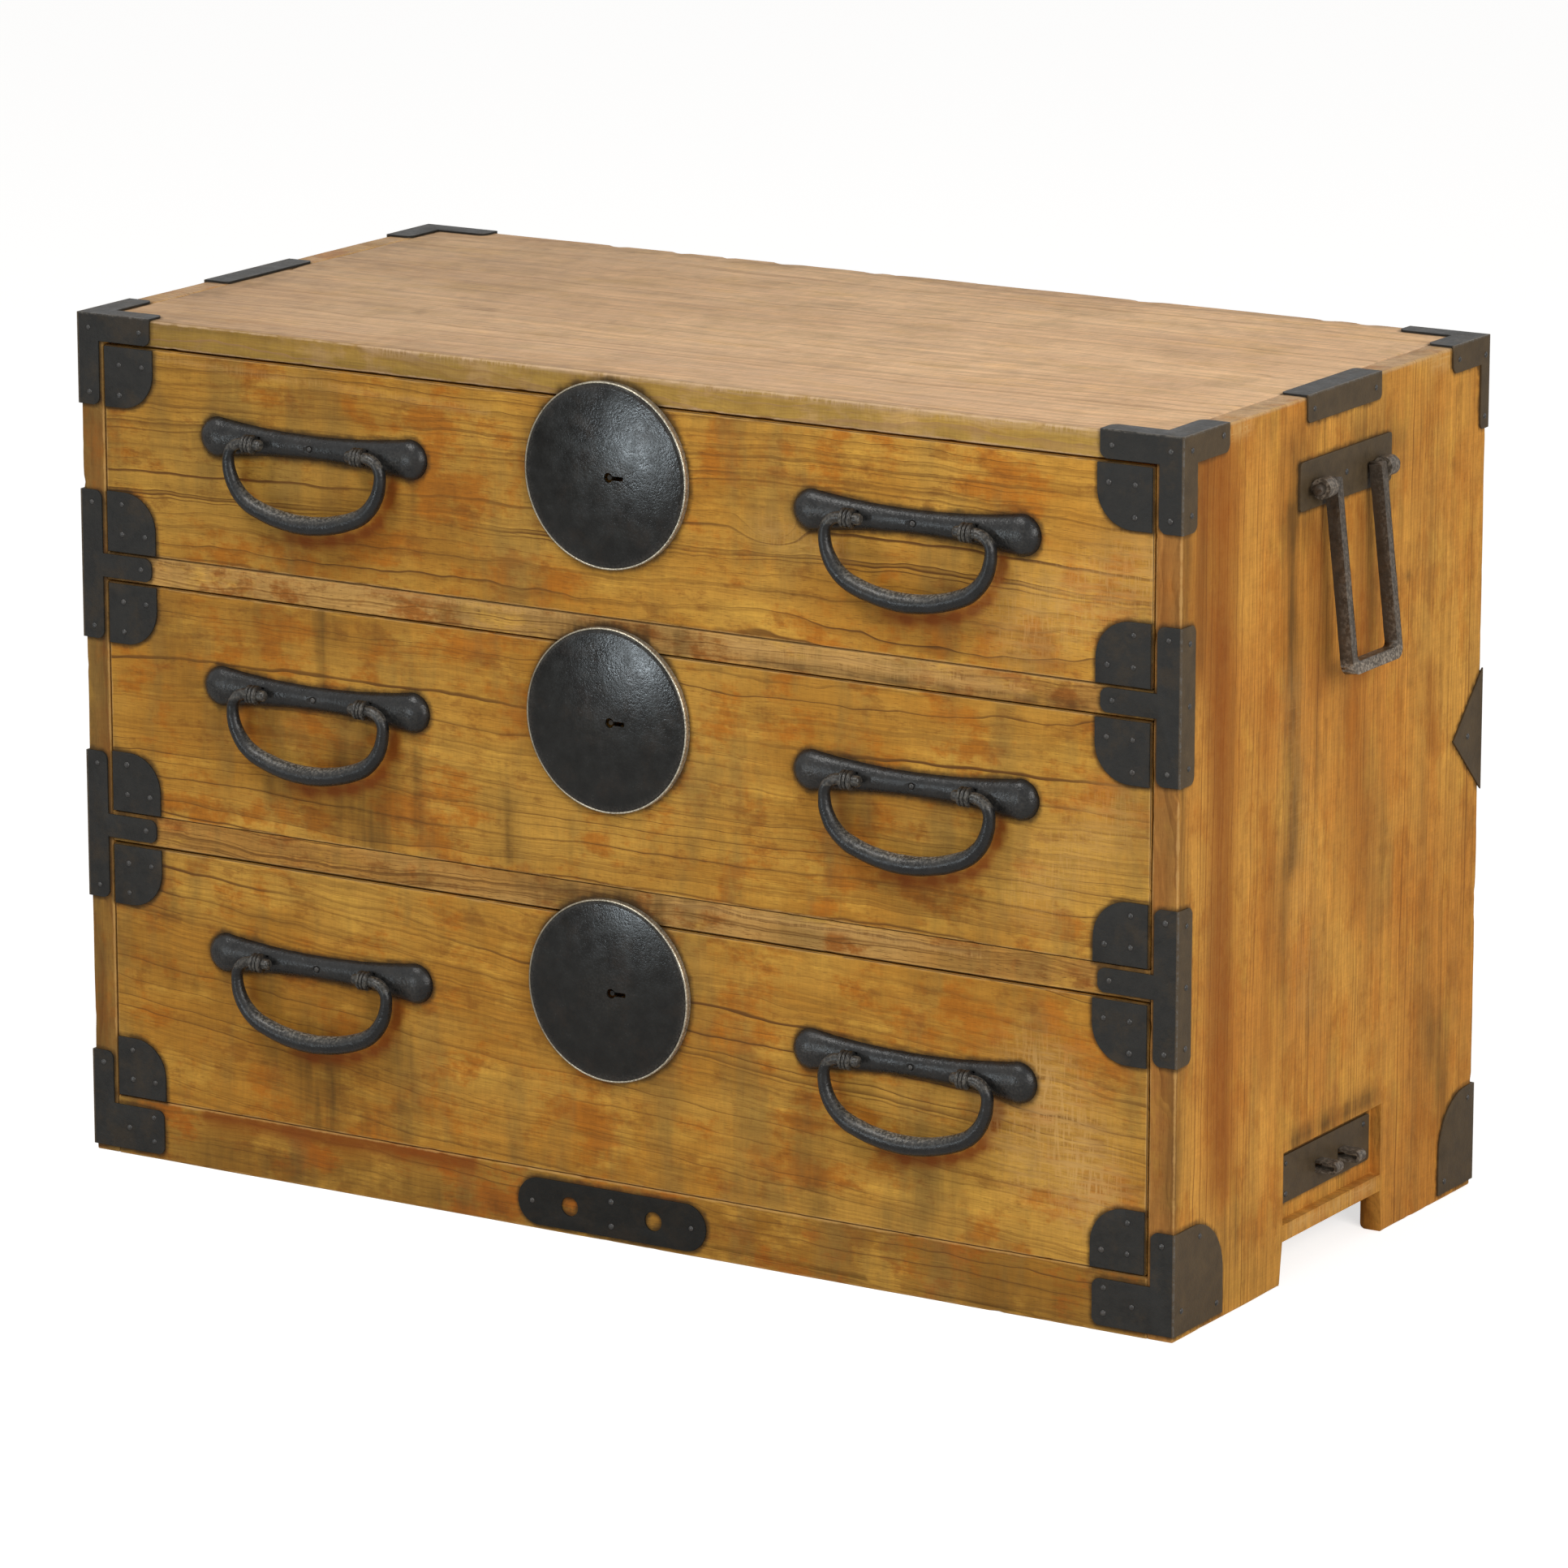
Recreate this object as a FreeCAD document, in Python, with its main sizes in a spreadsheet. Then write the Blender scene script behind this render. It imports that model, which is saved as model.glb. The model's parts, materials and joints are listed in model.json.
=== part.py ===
import FreeCAD, Part
import math
import os
import Sketcher
from types import SimpleNamespace

# Stacking ship chest: a boarded case with three drawers behind wrought-iron
# fittings.  Every drawer carries a round sliding-bolt lock and two drop bails,
# and each end of the case has one long carrying bail.
#
# Lengths are millimetres.  x runs across the front with 0 in the middle, y runs
# back from the front face of the case, and z runs up from the floor.  Each
# finished piece is then moved along y by front_y, so that the origin lies under
# the middle of the whole chest.

os.makedirs("parts", exist_ok=True)
doc = FreeCAD.newDocument("ShipChest")

# ---------------------------------------------------------------- named sizes

SIZES = [
    # case
    ("width", 900, "over the side panels"),
    ("depth", 445, "front face to back face of the case"),
    ("height", 622, "floor to the top of the boards"),
    ("side_board", 20, "thickness of a side panel"),
    ("top_board", 19, "thickness of the top panel"),
    ("back_board", 10, "thickness of the back panel"),
    ("shelf_board", 10, "thickness of a dust panel"),
    ("bottom_board", 12, "thickness of the bottom panel"),
    ("base_rail_high", 44, "height of the base rail"),
    ("base_rail_deep", 20, "thickness of the base rail"),
    ("low_rail_high", 22, "height of the rail under the middle drawer"),
    ("top_rail_high", 20, "height of the rail under the top drawer"),
    ("rail_deep", 45, "front to back of the two upper rails"),
    ("top_opening", 153, "height of the top drawer's opening"),
    ("mid_opening", 172, "height of the middle drawer's opening"),
    # drawers
    ("drawer_under", 0.3, "gap under a drawer"),
    ("drawer_over", 1.5, "gap over a drawer"),
    ("drawer_beside", 1.2, "gap at each side of a drawer"),
    ("drawer_behind", 6, "gap between a drawer and the back panel"),
    ("drawer_front", 18, "thickness of a drawer front"),
    ("drawer_side", 10, "thickness of a drawer side"),
    ("drawer_back", 8, "thickness of a drawer back"),
    ("drawer_floor", 7, "thickness of a drawer bottom"),
    ("side_lower", 8, "how much lower a drawer side is than its front"),
    # lifting recess and foot notch of a side panel
    ("grip_middle", 229.5, "middle of the side fittings, from the front"),
    ("recess_long", 146, "length of the recess"),
    ("recess_base", 43, "underside of the recess"),
    ("recess_high", 52, "height of the recess"),
    ("recess_deep", 8, "depth of the recess"),
    ("notch_long", 154, "length of the foot notch at the floor"),
    ("notch_taper", 4, "how much each end of the notch slopes in"),
    ("notch_high", 31, "height of the foot notch"),
    ("notch_flare", 10, "bevel round the inner edge of the notch"),
    # sheet iron
    ("iron", 1.5, "thickness of the sheet-iron fittings"),
    ("iron_round", 6, "rounding at the free ends of the irons"),
    ("arm_long", 62, "reach of a corner iron along an edge"),
    ("arm_high", 18.5, "width of an arm along the top edge"),
    ("strap_wide", 17, "width of an upright strap on the front"),
    ("strap_side", 18, "width of an upright strap on the side"),
    ("corner_drop", 65, "reach of a top corner iron down the post"),
    ("tee_reach", 60, "reach of a rail iron along its rail"),
    ("tee_arm", 17, "width of a rail iron's arm"),
    ("tee_tall", 109, "height of a rail iron"),
    ("foot_gap", 4.5, "floor to the lower edge of the base irons"),
    ("foot_arm", 33, "height of a base iron's arm"),
    ("foot_tall", 72, "height of a base corner iron"),
    ("foot_side", 68, "reach of a front base iron along the side"),
    ("foot_round", 42, "big rounding of a base iron"),
    ("rear_foot_side", 53, "reach of a rear base iron along the side"),
    ("rear_wrap", 20, "reach of the rear irons round the back"),
    ("spear_low", 294, "lower tip of the rear edge iron"),
    ("spear_point", 337, "height of the rear edge iron's point"),
    ("spear_top", 383, "upper tip of the rear edge iron"),
    ("spear_reach", 43, "reach of the rear edge iron's point"),
    ("rear_arm", 55, "reach of a rear top iron along the side"),
    ("rear_strap", 11, "width of a rear top iron's upright"),
    ("clip_right", 227, "middle of the right top edge iron, from the front"),
    ("clip_left", 208, "middle of the left top edge iron, from the front"),
    ("clip_long", 108, "length of a top edge iron"),
    ("clip_drop", 18, "how far a top edge iron covers the side"),
    ("clip_over", 20, "how far a top edge iron covers the top"),
    ("clip_round", 4, "rounding of a top edge iron"),
    ("base_long", 157, "length of the base centre iron"),
    ("base_high", 34.5, "height of the base centre iron"),
    ("base_low", 3.5, "floor to the base centre iron"),
    ("base_hole", 7, "radius of the base centre iron's holes"),
    ("base_hole_out", 35, "middle of the iron to each hole"),
    ("drawer_iron_long", 42, "reach of a drawer corner iron along the edge"),
    ("drawer_iron_high", 44, "reach of a drawer corner iron up the edge"),
    ("drawer_iron_round", 27, "big rounding of a drawer corner iron"),
    ("drawer_iron_inset", 0.8, "drawer edge to its corner iron"),
    # nails
    ("nail_head", 2.2, "radius of a nail's head"),
    ("nail_dome", 1.1, "height of a nail's head"),
    ("nail_shank", 1.0, "radius of a nail's shank"),
    ("nail_long", 9, "length of a nail below its head"),
    ("nail_room", 0.1, "clearance of a nail in its bore"),
    ("nail_end", 9, "free end of an iron to its nail"),
    ("nail_stray", 3, "how far some hand-set nails stand off their row"),
    ("bore_over", 0.5, "bore beyond each end of a nail"),
    ("nail_corner", 13, "outer corner of a drawer iron to its nails"),
    # lock
    ("plate_radius", 66, "outer radius of a lock plate"),
    ("plate_drop", 52, "top of the opening to the middle of the lock plate"),
    ("plate_off", 0.3, "gap behind the lock plate's rim"),
    ("rim_proud", 5, "how far the rim stands proud"),
    ("rim_wall", 1.6, "thickness of the rim"),
    ("rim_room", 0.05, "gap between the plate and its rim"),
    ("dome_proud", 9, "how far the middle of the plate stands proud"),
    ("dome_wall", 1.5, "thickness of the plate"),
    ("key_off", 5.5, "middle of the plate to the keyhole's round end"),
    ("key_round", 3.5, "radius of the keyhole's round end"),
    ("key_slot", 3.2, "height of the keyhole's slot"),
    ("key_reach", 12, "length of the keyhole's slot"),
    ("key_room", 1.5, "clearance round the key behind the plate"),
    ("drill_pin", 1.75, "radius of the drill pin"),
    ("drill_proud", 7, "drawer front to the tip of the drill pin"),
    ("case_top", 0.5, "lock case below the drawer's top edge"),
    ("case_wide", 74, "width of the lock case"),
    ("case_deep", 13, "depth of the lock case"),
    ("case_below", 24, "lock case below the keyhole"),
    ("case_wall", 1.8, "wall of the lock case"),
    ("bolt_wide", 26, "width of the bolt"),
    ("bolt_thick", 5, "thickness of the bolt"),
    ("bolt_behind", 4.2, "drawer front to the bolt"),
    ("bolt_room", 0.4, "clearance of the bolt in its case"),
    ("bolt_long", 38, "length of the bolt"),
    ("bolt_throw", 8, "travel of the bolt"),
    ("bolt_below", 0.6, "bolt at rest below the drawer's top edge"),
    ("mortise_room", 1, "clearance round the bolt in its mortise"),
    ("mortise_over", 2, "mortise beyond the end of the bolt's travel"),
    # drawer bails
    ("bail_in", 183, "inside of a side panel to the middle of a bail"),
    ("top_bail_drop", 58.5, "top opening's top to its bail pivots"),
    ("mid_bail_drop", 67, "middle opening's top to its bail pivots"),
    ("low_bail_drop", 70.5, "low opening's top to its bail pivots"),
    ("bail_proud", 13, "drawer front to the bail's pivot"),
    ("bail_half", 65, "half width of a bail on its bar's line"),
    ("bail_drop", 53.5, "pivot to the bottom of the bar's line"),
    ("bail_elbow", 12, "bend radius beside the eyes"),
    ("bail_corner", 35, "bend radius at the lower corners"),
    ("bail_sweep", 114, "bend radius of the bottom"),
    ("bail_tip", 36, "middle of the bail to each inner end"),
    ("pin_radius", 4, "radius of a bail inside its eyes"),
    ("arm_radius", 4.7, "radius of a bail in its straight arms"),
    ("corner_radius", 6.6, "radius of a bail where its corners end"),
    ("grip_radius", 7.3, "radius of a bail at the bottom"),
    ("pin_room", 0.08, "clearance of a pin in its eye"),
    ("eye_out", 46.5, "middle of a bail to each eye"),
    ("eye_wide", 9, "width of an eye"),
    ("eye_wall", 1.5, "wall of an eye under its ridges"),
    ("ridge_radius", 1.4, "radius of the three ridges round an eye"),
    ("shank_high", 7, "height of an eye's shank"),
    ("shank_room", 0.2, "clearance of a shank in its hole"),
    ("tail_long", 14, "length of a clinched tail"),
    ("tail_thick", 2, "thickness of a clinched tail"),
    ("tail_wide", 7, "width of a clinched tail"),
    # back-plate of a drawer bail
    ("cup_slot_room", 1.1, "clearance of an eye in the back-plate's slot"),
    ("cup_out", 82, "middle of a back-plate to the middle of each end"),
    ("cup_radius", 14.5, "half height of a back-plate's ends"),
    ("cup_proud", 9, "how far the ends stand proud"),
    ("neck_half", 8.5, "half height of a back-plate's neck"),
    ("neck_proud", 6.5, "how far the neck stands proud"),
    ("cup_sink", 0.3, "depth of the nail's seat in the neck"),
    # carrying bails
    ("carry_height", 559, "floor to the carrying bail's pivot"),
    ("carry_proud", 9.3, "side panel to the carrying bail's pivot"),
    ("carry_half", 33, "middle of the bail to the middle of an arm"),
    ("carry_bar", 8, "width of the bar"),
    ("carry_deep", 10, "thickness of the bar"),
    ("carry_drop", 132, "pivot to the bottom of the bar"),
    ("carry_round", 8, "outer rounding of the bail's corners"),
    ("carry_tip", 58, "middle of the bail to each pin's end"),
    ("carry_lean", 6.7, "degrees that the bail leans out at rest"),
    ("carry_eye_out", 45.5, "middle of the bail to each eye"),
    ("carry_eye_wide", 12, "width of a carrying eye"),
    ("carry_eye_wall", 3.2, "wall of a carrying eye"),
    ("carry_shank_long", 14, "shank of a carrying eye in the side panel"),
    ("carry_foot", 9, "height of the bail's bottom bar"),
    ("carry_head", 3.5, "outer rounding at the top of an arm"),
    ("carry_neck", 2, "inner rounding at the top of an arm"),
    ("carry_bow_round", 4, "inner rounding of the bail's corners"),
    ("side_plate_up", 2.5, "pivot to the middle height of the upper eye plate"),
    ("side_plate_long", 134, "length of an eye plate"),
    ("side_plate_high", 34, "height of an eye plate"),
    ("side_plate_iron", 2, "thickness of an eye plate"),
    ("side_plate_round", 3, "rounding of an eye plate's corners"),
    # rope eyes in the recesses
    ("rope_back", 8.3, "side fittings' middle to the middle of the pair"),
    ("rope_apart", 34, "distance between the two rope eyes"),
    ("rope_height", 70, "floor to the middle of the rope eyes"),
    ("rope_wide", 10, "width of a rope eye"),
    ("rope_high", 8.4, "outer height of a rope eye"),
    ("rope_wall", 2.2, "thickness of a rope eye's strap"),
    ("rope_shank", 12, "plate face to the end of a rope eye in the panel"),
    ("rope_reach", 17, "plate to the nose of a rope eye"),
    ("rope_plate_height", 72, "floor to the middle of the plate"),
]


class Size:
    """A length together with the sheet formula that gives it."""

    def __init__(self, value, text):
        self.value = value
        self.text = text

    def joined(self, sign, other):
        other = size_of(other)
        value = {
            "+": lambda a, b: a + b,
            "-": lambda a, b: a - b,
            "*": lambda a, b: a * b,
            "/": lambda a, b: a / b if b else 0,
        }[sign](self.value, other.value)
        return Size(value, f"({self.text} {sign} {other.text})")

    def __add__(self, other):
        return self.joined("+", other)

    def __sub__(self, other):
        return self.joined("-", other)

    def __mul__(self, other):
        return self.joined("*", other)

    def __truediv__(self, other):
        return self.joined("/", other)

    def __neg__(self):
        return self * -1

    def root(self):
        return Size(math.sqrt(self.value), f"sqrt({self.text})")

    def least(self, other):
        return Size(min(self.value, other.value), f"min({self.text}; {other.text})")


def size_of(number):
    """A plain number as a Size."""
    return number if isinstance(number, Size) else Size(float(number), f"({float(number)!r})")


def fill_sheet():
    """Write the sizes into the sheet and return them by name."""
    sheet = doc.addObject("Spreadsheet::Sheet", "Sizes")
    named = {}
    for row, (name, value, meaning) in enumerate(SIZES, start=1):
        sheet.set(f"A{row}", name)
        sheet.set(f"B{row}", str(value))
        sheet.set(f"C{row}", meaning)
        sheet.setAlias(f"B{row}", name)
        named[name] = Size(float(value), f"Sizes.{name}")
    doc.recompute()
    return SimpleNamespace(**named)


s = fill_sheet()

# --------------------------------------------------------------------- helpers


def bind(thing, prop, size):
    """Set a property to a size and tie it to the sheet."""
    size = size_of(size)
    if prop.startswith("Placement.Base."):
        place = FreeCAD.Placement(thing.Placement)
        base = FreeCAD.Vector(place.Base)
        setattr(base, prop[-1], size.value)
        place.Base = base
        thing.Placement = place
    else:
        setattr(thing, prop, size.value)
    thing.setExpression(prop, size.text)


def move(thing, x=0, y=0, z=0):
    """Put a piece at x, y, z."""
    for axis, size in zip("xyz", (x, y, z)):
        bind(thing, "Placement.Base." + axis, size)
    return thing


def box(name, x, y, z):
    """A box between pairs of sizes along x, y and z."""
    thing = doc.addObject("Part::Box", name)
    for prop, (low, high) in zip(("Length", "Width", "Height"), (x, y, z)):
        bind(thing, prop, size_of(high) - low)
    return move(thing, x[0], y[0], z[0])


def group(name, things):
    """Several pieces as one compound."""
    thing = doc.addObject("Part::Compound", name)
    thing.Links = things
    return thing


def cut(name, base, *tools):
    """A piece with others cut out of it, one after another."""
    for number, tool in enumerate(tools, start=1):
        last = number == len(tools)
        thing = doc.addObject("Part::Cut", name if last else f"{name}_{number}")
        thing.Base = base
        thing.Tool = tool
        base = thing
    return base


def fuse(name, *things):
    """Several solids joined into one."""
    thing = doc.addObject("Part::MultiFuse", name)
    thing.Shapes = list(things)
    thing.Refine = False
    return thing


def mirrored(name, thing):
    """The piece's twin on the other side of the middle."""
    twin = doc.addObject("Part::Mirroring", name)
    twin.Source = thing
    twin.Normal = (1, 0, 0)
    twin.Base = (0, 0, 0)
    return twin


def both(name, thing):
    """The piece and its twin on the other side."""
    return group(name, [thing, mirrored(name + "_twin", thing)])


def link(name, thing, x=0, y=0, z=0, turn=None):
    """A further copy of a piece, turned and then put at x, y, z."""
    copy = doc.addObject("App::Link", name)
    copy.LinkedObject = thing
    copy.LinkTransform = True
    if turn is not None:
        copy.Placement = FreeCAD.Placement(FreeCAD.Vector(), turn)
    return move(copy, x, y, z)


# ------------------------------------------------------------ sketches, bodies

# Each plane's role, and whether its normal points along or against its axis.
PLANES = {"xy": ("XY_Plane", 1), "xz": ("XZ_Plane", -1), "yz": ("YZ_Plane", 1)}


def body(name):
    """An empty body."""
    return doc.addObject("PartDesign::Body", name)


def plane_of(owner, role):
    """One of the body's own origin planes or axes."""
    return next(item for item in owner.Origin.OriginFeatures if item.Role == role)


def sketch_on(owner, name, plane, level=0):
    """An empty sketch on an origin plane, at a level along the plane's axis."""
    role, sign = PLANES[plane]
    sketch = owner.newObject("Sketcher::SketchObject", name)
    sketch.AttachmentSupport = [(plane_of(owner, role), "")]
    sketch.MapMode = "FlatFace"
    level = size_of(level) * sign
    sketch.AttachmentOffset = FreeCAD.Placement(
        FreeCAD.Vector(0, 0, level.value), FreeCAD.Rotation()
    )
    sketch.setExpression("AttachmentOffset.Base.z", level.text)
    return sketch


def pin_point(sketch, geometry, vertex, u=None, v=None):
    """Hold a vertex of the sketch at u and v from its origin."""
    for kind, size in (("DistanceX", u), ("DistanceY", v)):
        if size is None:
            continue
        size = size_of(size)
        index = sketch.addConstraint(
            Sketcher.Constraint(kind, -1, 1, geometry, vertex, size.value)
        )
        sketch.setExpression(f"Constraints[{index}]", size.text)


def circle(sketch, u, v, radius):
    """A circle in a sketch."""
    u, v, radius = size_of(u), size_of(v), size_of(radius)
    centre = FreeCAD.Vector(u.value, v.value, 0)
    index = sketch.addGeometry(Part.Circle(centre, FreeCAD.Vector(0, 0, 1), radius.value))
    pin_point(sketch, index, 3, u, v)
    ring = sketch.addConstraint(Sketcher.Constraint("Radius", index, radius.value))
    sketch.setExpression(f"Constraints[{ring}]", radius.text)
    return sketch


def sign(number):
    return (number > 1e-9) - (number < -1e-9)


def corner_run(corners):
    """Spell out a closed outline as straight and rounded steps.

    A corner is (u, v) or (u, v, radius); a rounded corner is a right angle.
    Each step is its start point and, for a rounding, the centre's u.
    """
    steps = []
    for index, corner in enumerate(corners):
        u, v = size_of(corner[0]), size_of(corner[1])
        if len(corner) == 2:
            steps.append((u, v, None, None))
            continue
        radius = size_of(corner[2])
        before = corners[index - 1]
        after = corners[(index + 1) % len(corners)]
        in_u = sign(size_of(before[0]).value - u.value)
        in_v = sign(size_of(before[1]).value - v.value)
        out_u = sign(size_of(after[0]).value - u.value)
        out_v = sign(size_of(after[1]).value - v.value)
        centre = (u + radius * (in_u + out_u), v + radius * (in_v + out_v))
        turn = out_u * in_v - out_v * in_u
        steps.append((u + radius * in_u, v + radius * in_v, centre, turn))
        steps.append((u + radius * out_u, v + radius * out_v, None, None))
    return steps


def outline(sketch, corners):
    """Draw a closed outline in a sketch, rounded where a corner has a radius."""
    steps = corner_run(corners)
    count = len(steps)
    first = sketch.GeometryCount
    starts = []
    for index, (u, v, centre, turn) in enumerate(steps):
        after = steps[(index + 1) % count]
        start = FreeCAD.Vector(u.value, v.value, 0)
        end = FreeCAD.Vector(after[0].value, after[1].value, 0)
        if centre is None:
            sketch.addGeometry(Part.LineSegment(start, end))
            starts.append(1)
            continue
        middle = FreeCAD.Vector(centre[0].value, centre[1].value, 0)
        sketch.addGeometry(quarter(middle, start, end, turn))
        starts.append(1 if turn > 0 else 2)
    for index, (u, v, centre, turn) in enumerate(steps):
        geometry = first + index
        following = first + (index + 1) % count
        pin_point(sketch, geometry, starts[index], u, v)
        sketch.addConstraint(
            Sketcher.Constraint(
                "Coincident", geometry, 3 - starts[index],
                following, starts[(index + 1) % count],
            )
        )
        if centre is not None:
            pin_point(sketch, geometry, 3, centre[0])
    return sketch


def quarter(middle, start, end, turn):
    """The arc from start to end about the middle."""
    first, last = (start, end) if turn > 0 else (end, start)
    angles = [math.atan2(p.y - middle.y, p.x - middle.x) for p in (first, last)]
    if angles[1] < angles[0]:
        angles[1] += 2 * math.pi
    ring = Part.Circle(middle, FreeCAD.Vector(0, 0, 1), (start - middle).Length)
    return Part.ArcOfCircle(ring, *angles)


def raise_feature(kind, owner, name, plane, shapes, low, high):
    """Add or cut a prism between two levels along the plane's axis."""
    level = low if PLANES[plane][1] > 0 else high
    sketch = sketch_on(owner, name + "_outline", plane, level)
    for shape in shapes:
        if isinstance(shape, list):
            outline(sketch, shape)
        else:
            circle(sketch, *shape)
    feature = owner.newObject(kind, name)
    feature.Profile = sketch
    bind(feature, "Length", size_of(high) - low)
    return feature


def pad(owner, name, plane, shape, low, high):
    return raise_feature("PartDesign::Pad", owner, name, plane, [shape], low, high)


def pocket(owner, name, plane, shapes, low, high):
    feature = raise_feature("PartDesign::Pocket", owner, name, plane, shapes, low, high)
    feature.Reversed = True
    return feature


def rectangle(u, v, radius=None):
    """The corners of a rectangle between two pairs of sizes."""
    tail = () if radius is None else (radius,)
    (left, right), (low, high) = u, v
    return [
        (left, low) + tail,
        (right, low) + tail,
        (right, high) + tail,
        (left, high) + tail,
    ]


# ---------------------------------------------------------------------- levels

half = s.width / 2
inner = half - s.side_board
front_y = (s.bail_proud + s.grip_radius - s.iron - s.depth) / 2
top_ceiling = s.height - s.top_board
top_floor = top_ceiling - s.top_opening
mid_ceiling = top_floor - s.top_rail_high
mid_floor = mid_ceiling - s.mid_opening
low_ceiling = mid_floor - s.low_rail_high
low_floor = s.base_rail_high
beyond = 1  # how far a cutting piece runs past what it cuts
flat = 0.1  # shortest straight left between two roundings

# ----------------------------------------------------------------------- nails

TOWARDS = {
    "front": (0, -1, 0),
    "back": (0, 1, 0),
    "right": (1, 0, 0),
    "left": (-1, 0, 0),
    "top": (0, 0, 1),
}


def turn_to(face):
    """The turn that points +z out of a face."""
    return FreeCAD.Rotation(FreeCAD.Vector(0, 0, 1), FreeCAD.Vector(*TOWARDS[face]))


def rod(name, radius, low, high):
    """A round bar along z."""
    thing = doc.addObject("Part::Cylinder", name)
    bind(thing, "Radius", radius)
    bind(thing, "Height", size_of(high) - low)
    return move(thing, z=low)


def make_nail():
    """A domed nail: the underside of its head is at z = 0."""
    dome = doc.addObject("Part::Ellipsoid", "nail_dome_solid")
    bind(dome, "Radius1", s.nail_dome)
    bind(dome, "Radius2", s.nail_head)
    dome.Radius3 = 0
    dome.Angle1 = 0
    dome.Angle2 = 90
    shank = rod("nail_shank_solid", s.nail_shank, -s.nail_long, 0)
    return fuse("nail", dome, shank)


nail = make_nail()
bore = rod("nail_bore", s.nail_shank + s.nail_room, -s.nail_long - s.bore_over, s.bore_over)


def on_both_sides(spots):
    """Nail spots and their twins on the other side of the middle."""
    swap = {"right": "left", "left": "right"}
    return spots + [(swap.get(face, face), -size_of(x), y, z) for face, x, y, z in spots]


def drive(name, spots):
    """Nails at (face, x, y, z) under their heads, and the bores that take them."""
    nails = []
    bores = []
    for number, (face, x, y, z) in enumerate(spots, start=1):
        turn = turn_to(face)
        nails.append(link(f"{name}_{number}", nail, x, y, z, turn))
        bores.append(link(f"{name}_bore_{number}", bore, x, y, z, turn))
    return group(name + "_set", nails), group(name + "_bores", bores)


# ----------------------------------------------------------------- case boards


def make_side_panel():
    """The right side panel with its lifting recess and foot notch."""
    panel = body("side_board_body")
    middle = s.grip_middle
    pad(panel, "side_slab", "yz", rectangle((0, s.depth), (0, s.height)), inner, half)
    recess = rectangle(
        (middle - s.recess_long / 2, middle + s.recess_long / 2),
        (s.recess_base, s.recess_base + s.recess_high),
    )
    pocket(panel, "recess", "yz", [recess], half - s.recess_deep, half + beyond)
    wide = s.notch_long / 2
    narrow = wide - s.notch_taper
    notch = [
        (middle - wide, -beyond),
        (middle - wide, 0),
        (middle - narrow, s.notch_high),
        (middle + narrow, s.notch_high),
        (middle + wide, 0),
        (middle + wide, -beyond),
    ]
    pocket(panel, "notch", "yz", [notch], inner - beyond, half + beyond)
    flare = [
        (inner - beyond, middle - narrow - s.notch_flare - beyond),
        (inner + s.notch_flare, middle - narrow),
        (inner + s.notch_flare, middle + narrow),
        (inner - beyond, middle + narrow + s.notch_flare + beyond),
    ]
    pocket(panel, "notch_bevel", "xy", [flare], -beyond, s.notch_high)
    return panel


across = (-inner, inner)
side_board = make_side_panel()
top_board = box("top_slab", across, (0, s.depth), (top_ceiling, s.height))
back_board = box(
    "back_slab", across, (s.depth - s.back_board, s.depth),
    (s.base_rail_high - s.bottom_board, top_ceiling),
)
base_rail = box("base_slab", across, (0, s.base_rail_deep), (0, s.base_rail_high))
low_rail = box("low_rail_slab", across, (0, s.rail_deep), (low_ceiling, mid_floor))
top_rail = box("top_rail_slab", across, (0, s.rail_deep), (mid_ceiling, top_floor))
behind = s.depth - s.back_board
bottom_panel = box(
    "bottom_slab", across, (s.base_rail_deep, behind),
    (low_floor - s.bottom_board, low_floor),
)
low_dust = box(
    "low_dust_slab", across, (s.rail_deep, behind), (mid_floor - s.shelf_board, mid_floor)
)
top_dust = box(
    "top_dust_slab", across, (s.rail_deep, behind), (top_floor - s.shelf_board, top_floor)
)

# ----------------------------------------------------------------- case irons

right_face = (half, half + s.iron)
front_face = (-s.iron, 0)
back_face = (s.depth, s.depth + s.iron)
top_face = (s.height, s.height + s.iron)
edge_x = half + s.iron
edge_y = -s.iron
edge_back = s.depth + s.iron
edge_top = s.height + s.iron


def angle_plate(u_edge, u_in, u_arm, v_edge, v_in, v_arm, round_u, round_v):
    """An L: one arm along u and one along v, from a shared outer corner.

    u_in and v_in bound the widths of the arms, u_arm and v_arm their ends.
    """
    return [
        (u_edge, v_edge),
        (u_arm, v_edge),
        (u_arm, v_in, round_u),
        (u_in, v_in),
        (u_in, v_arm, round_v),
        (u_edge, v_arm),
    ]


def make_top_corner():
    """Front top corner iron: front, side and top faces of the right corner."""
    iron = body("top_corner_iron")
    post = half - s.strap_wide
    arm = half - s.arm_long
    under = s.height - s.arm_high
    foot = s.height - s.corner_drop
    turn = s.iron_round
    front = angle_plate(edge_x, post, arm, edge_top, under, foot, turn, turn)
    pad(iron, "corner_front", "xz", front, *front_face)
    side = angle_plate(
        edge_y, s.strap_side, s.arm_long, edge_top, under, foot, turn, turn
    )
    pad(iron, "corner_side", "yz", side, *right_face)
    over = half - s.clip_over
    lid = angle_plate(edge_x, over, arm, edge_y, s.strap_wide, s.arm_long, turn, turn)
    pad(iron, "corner_lid", "xy", lid, *top_face)
    return iron


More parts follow.
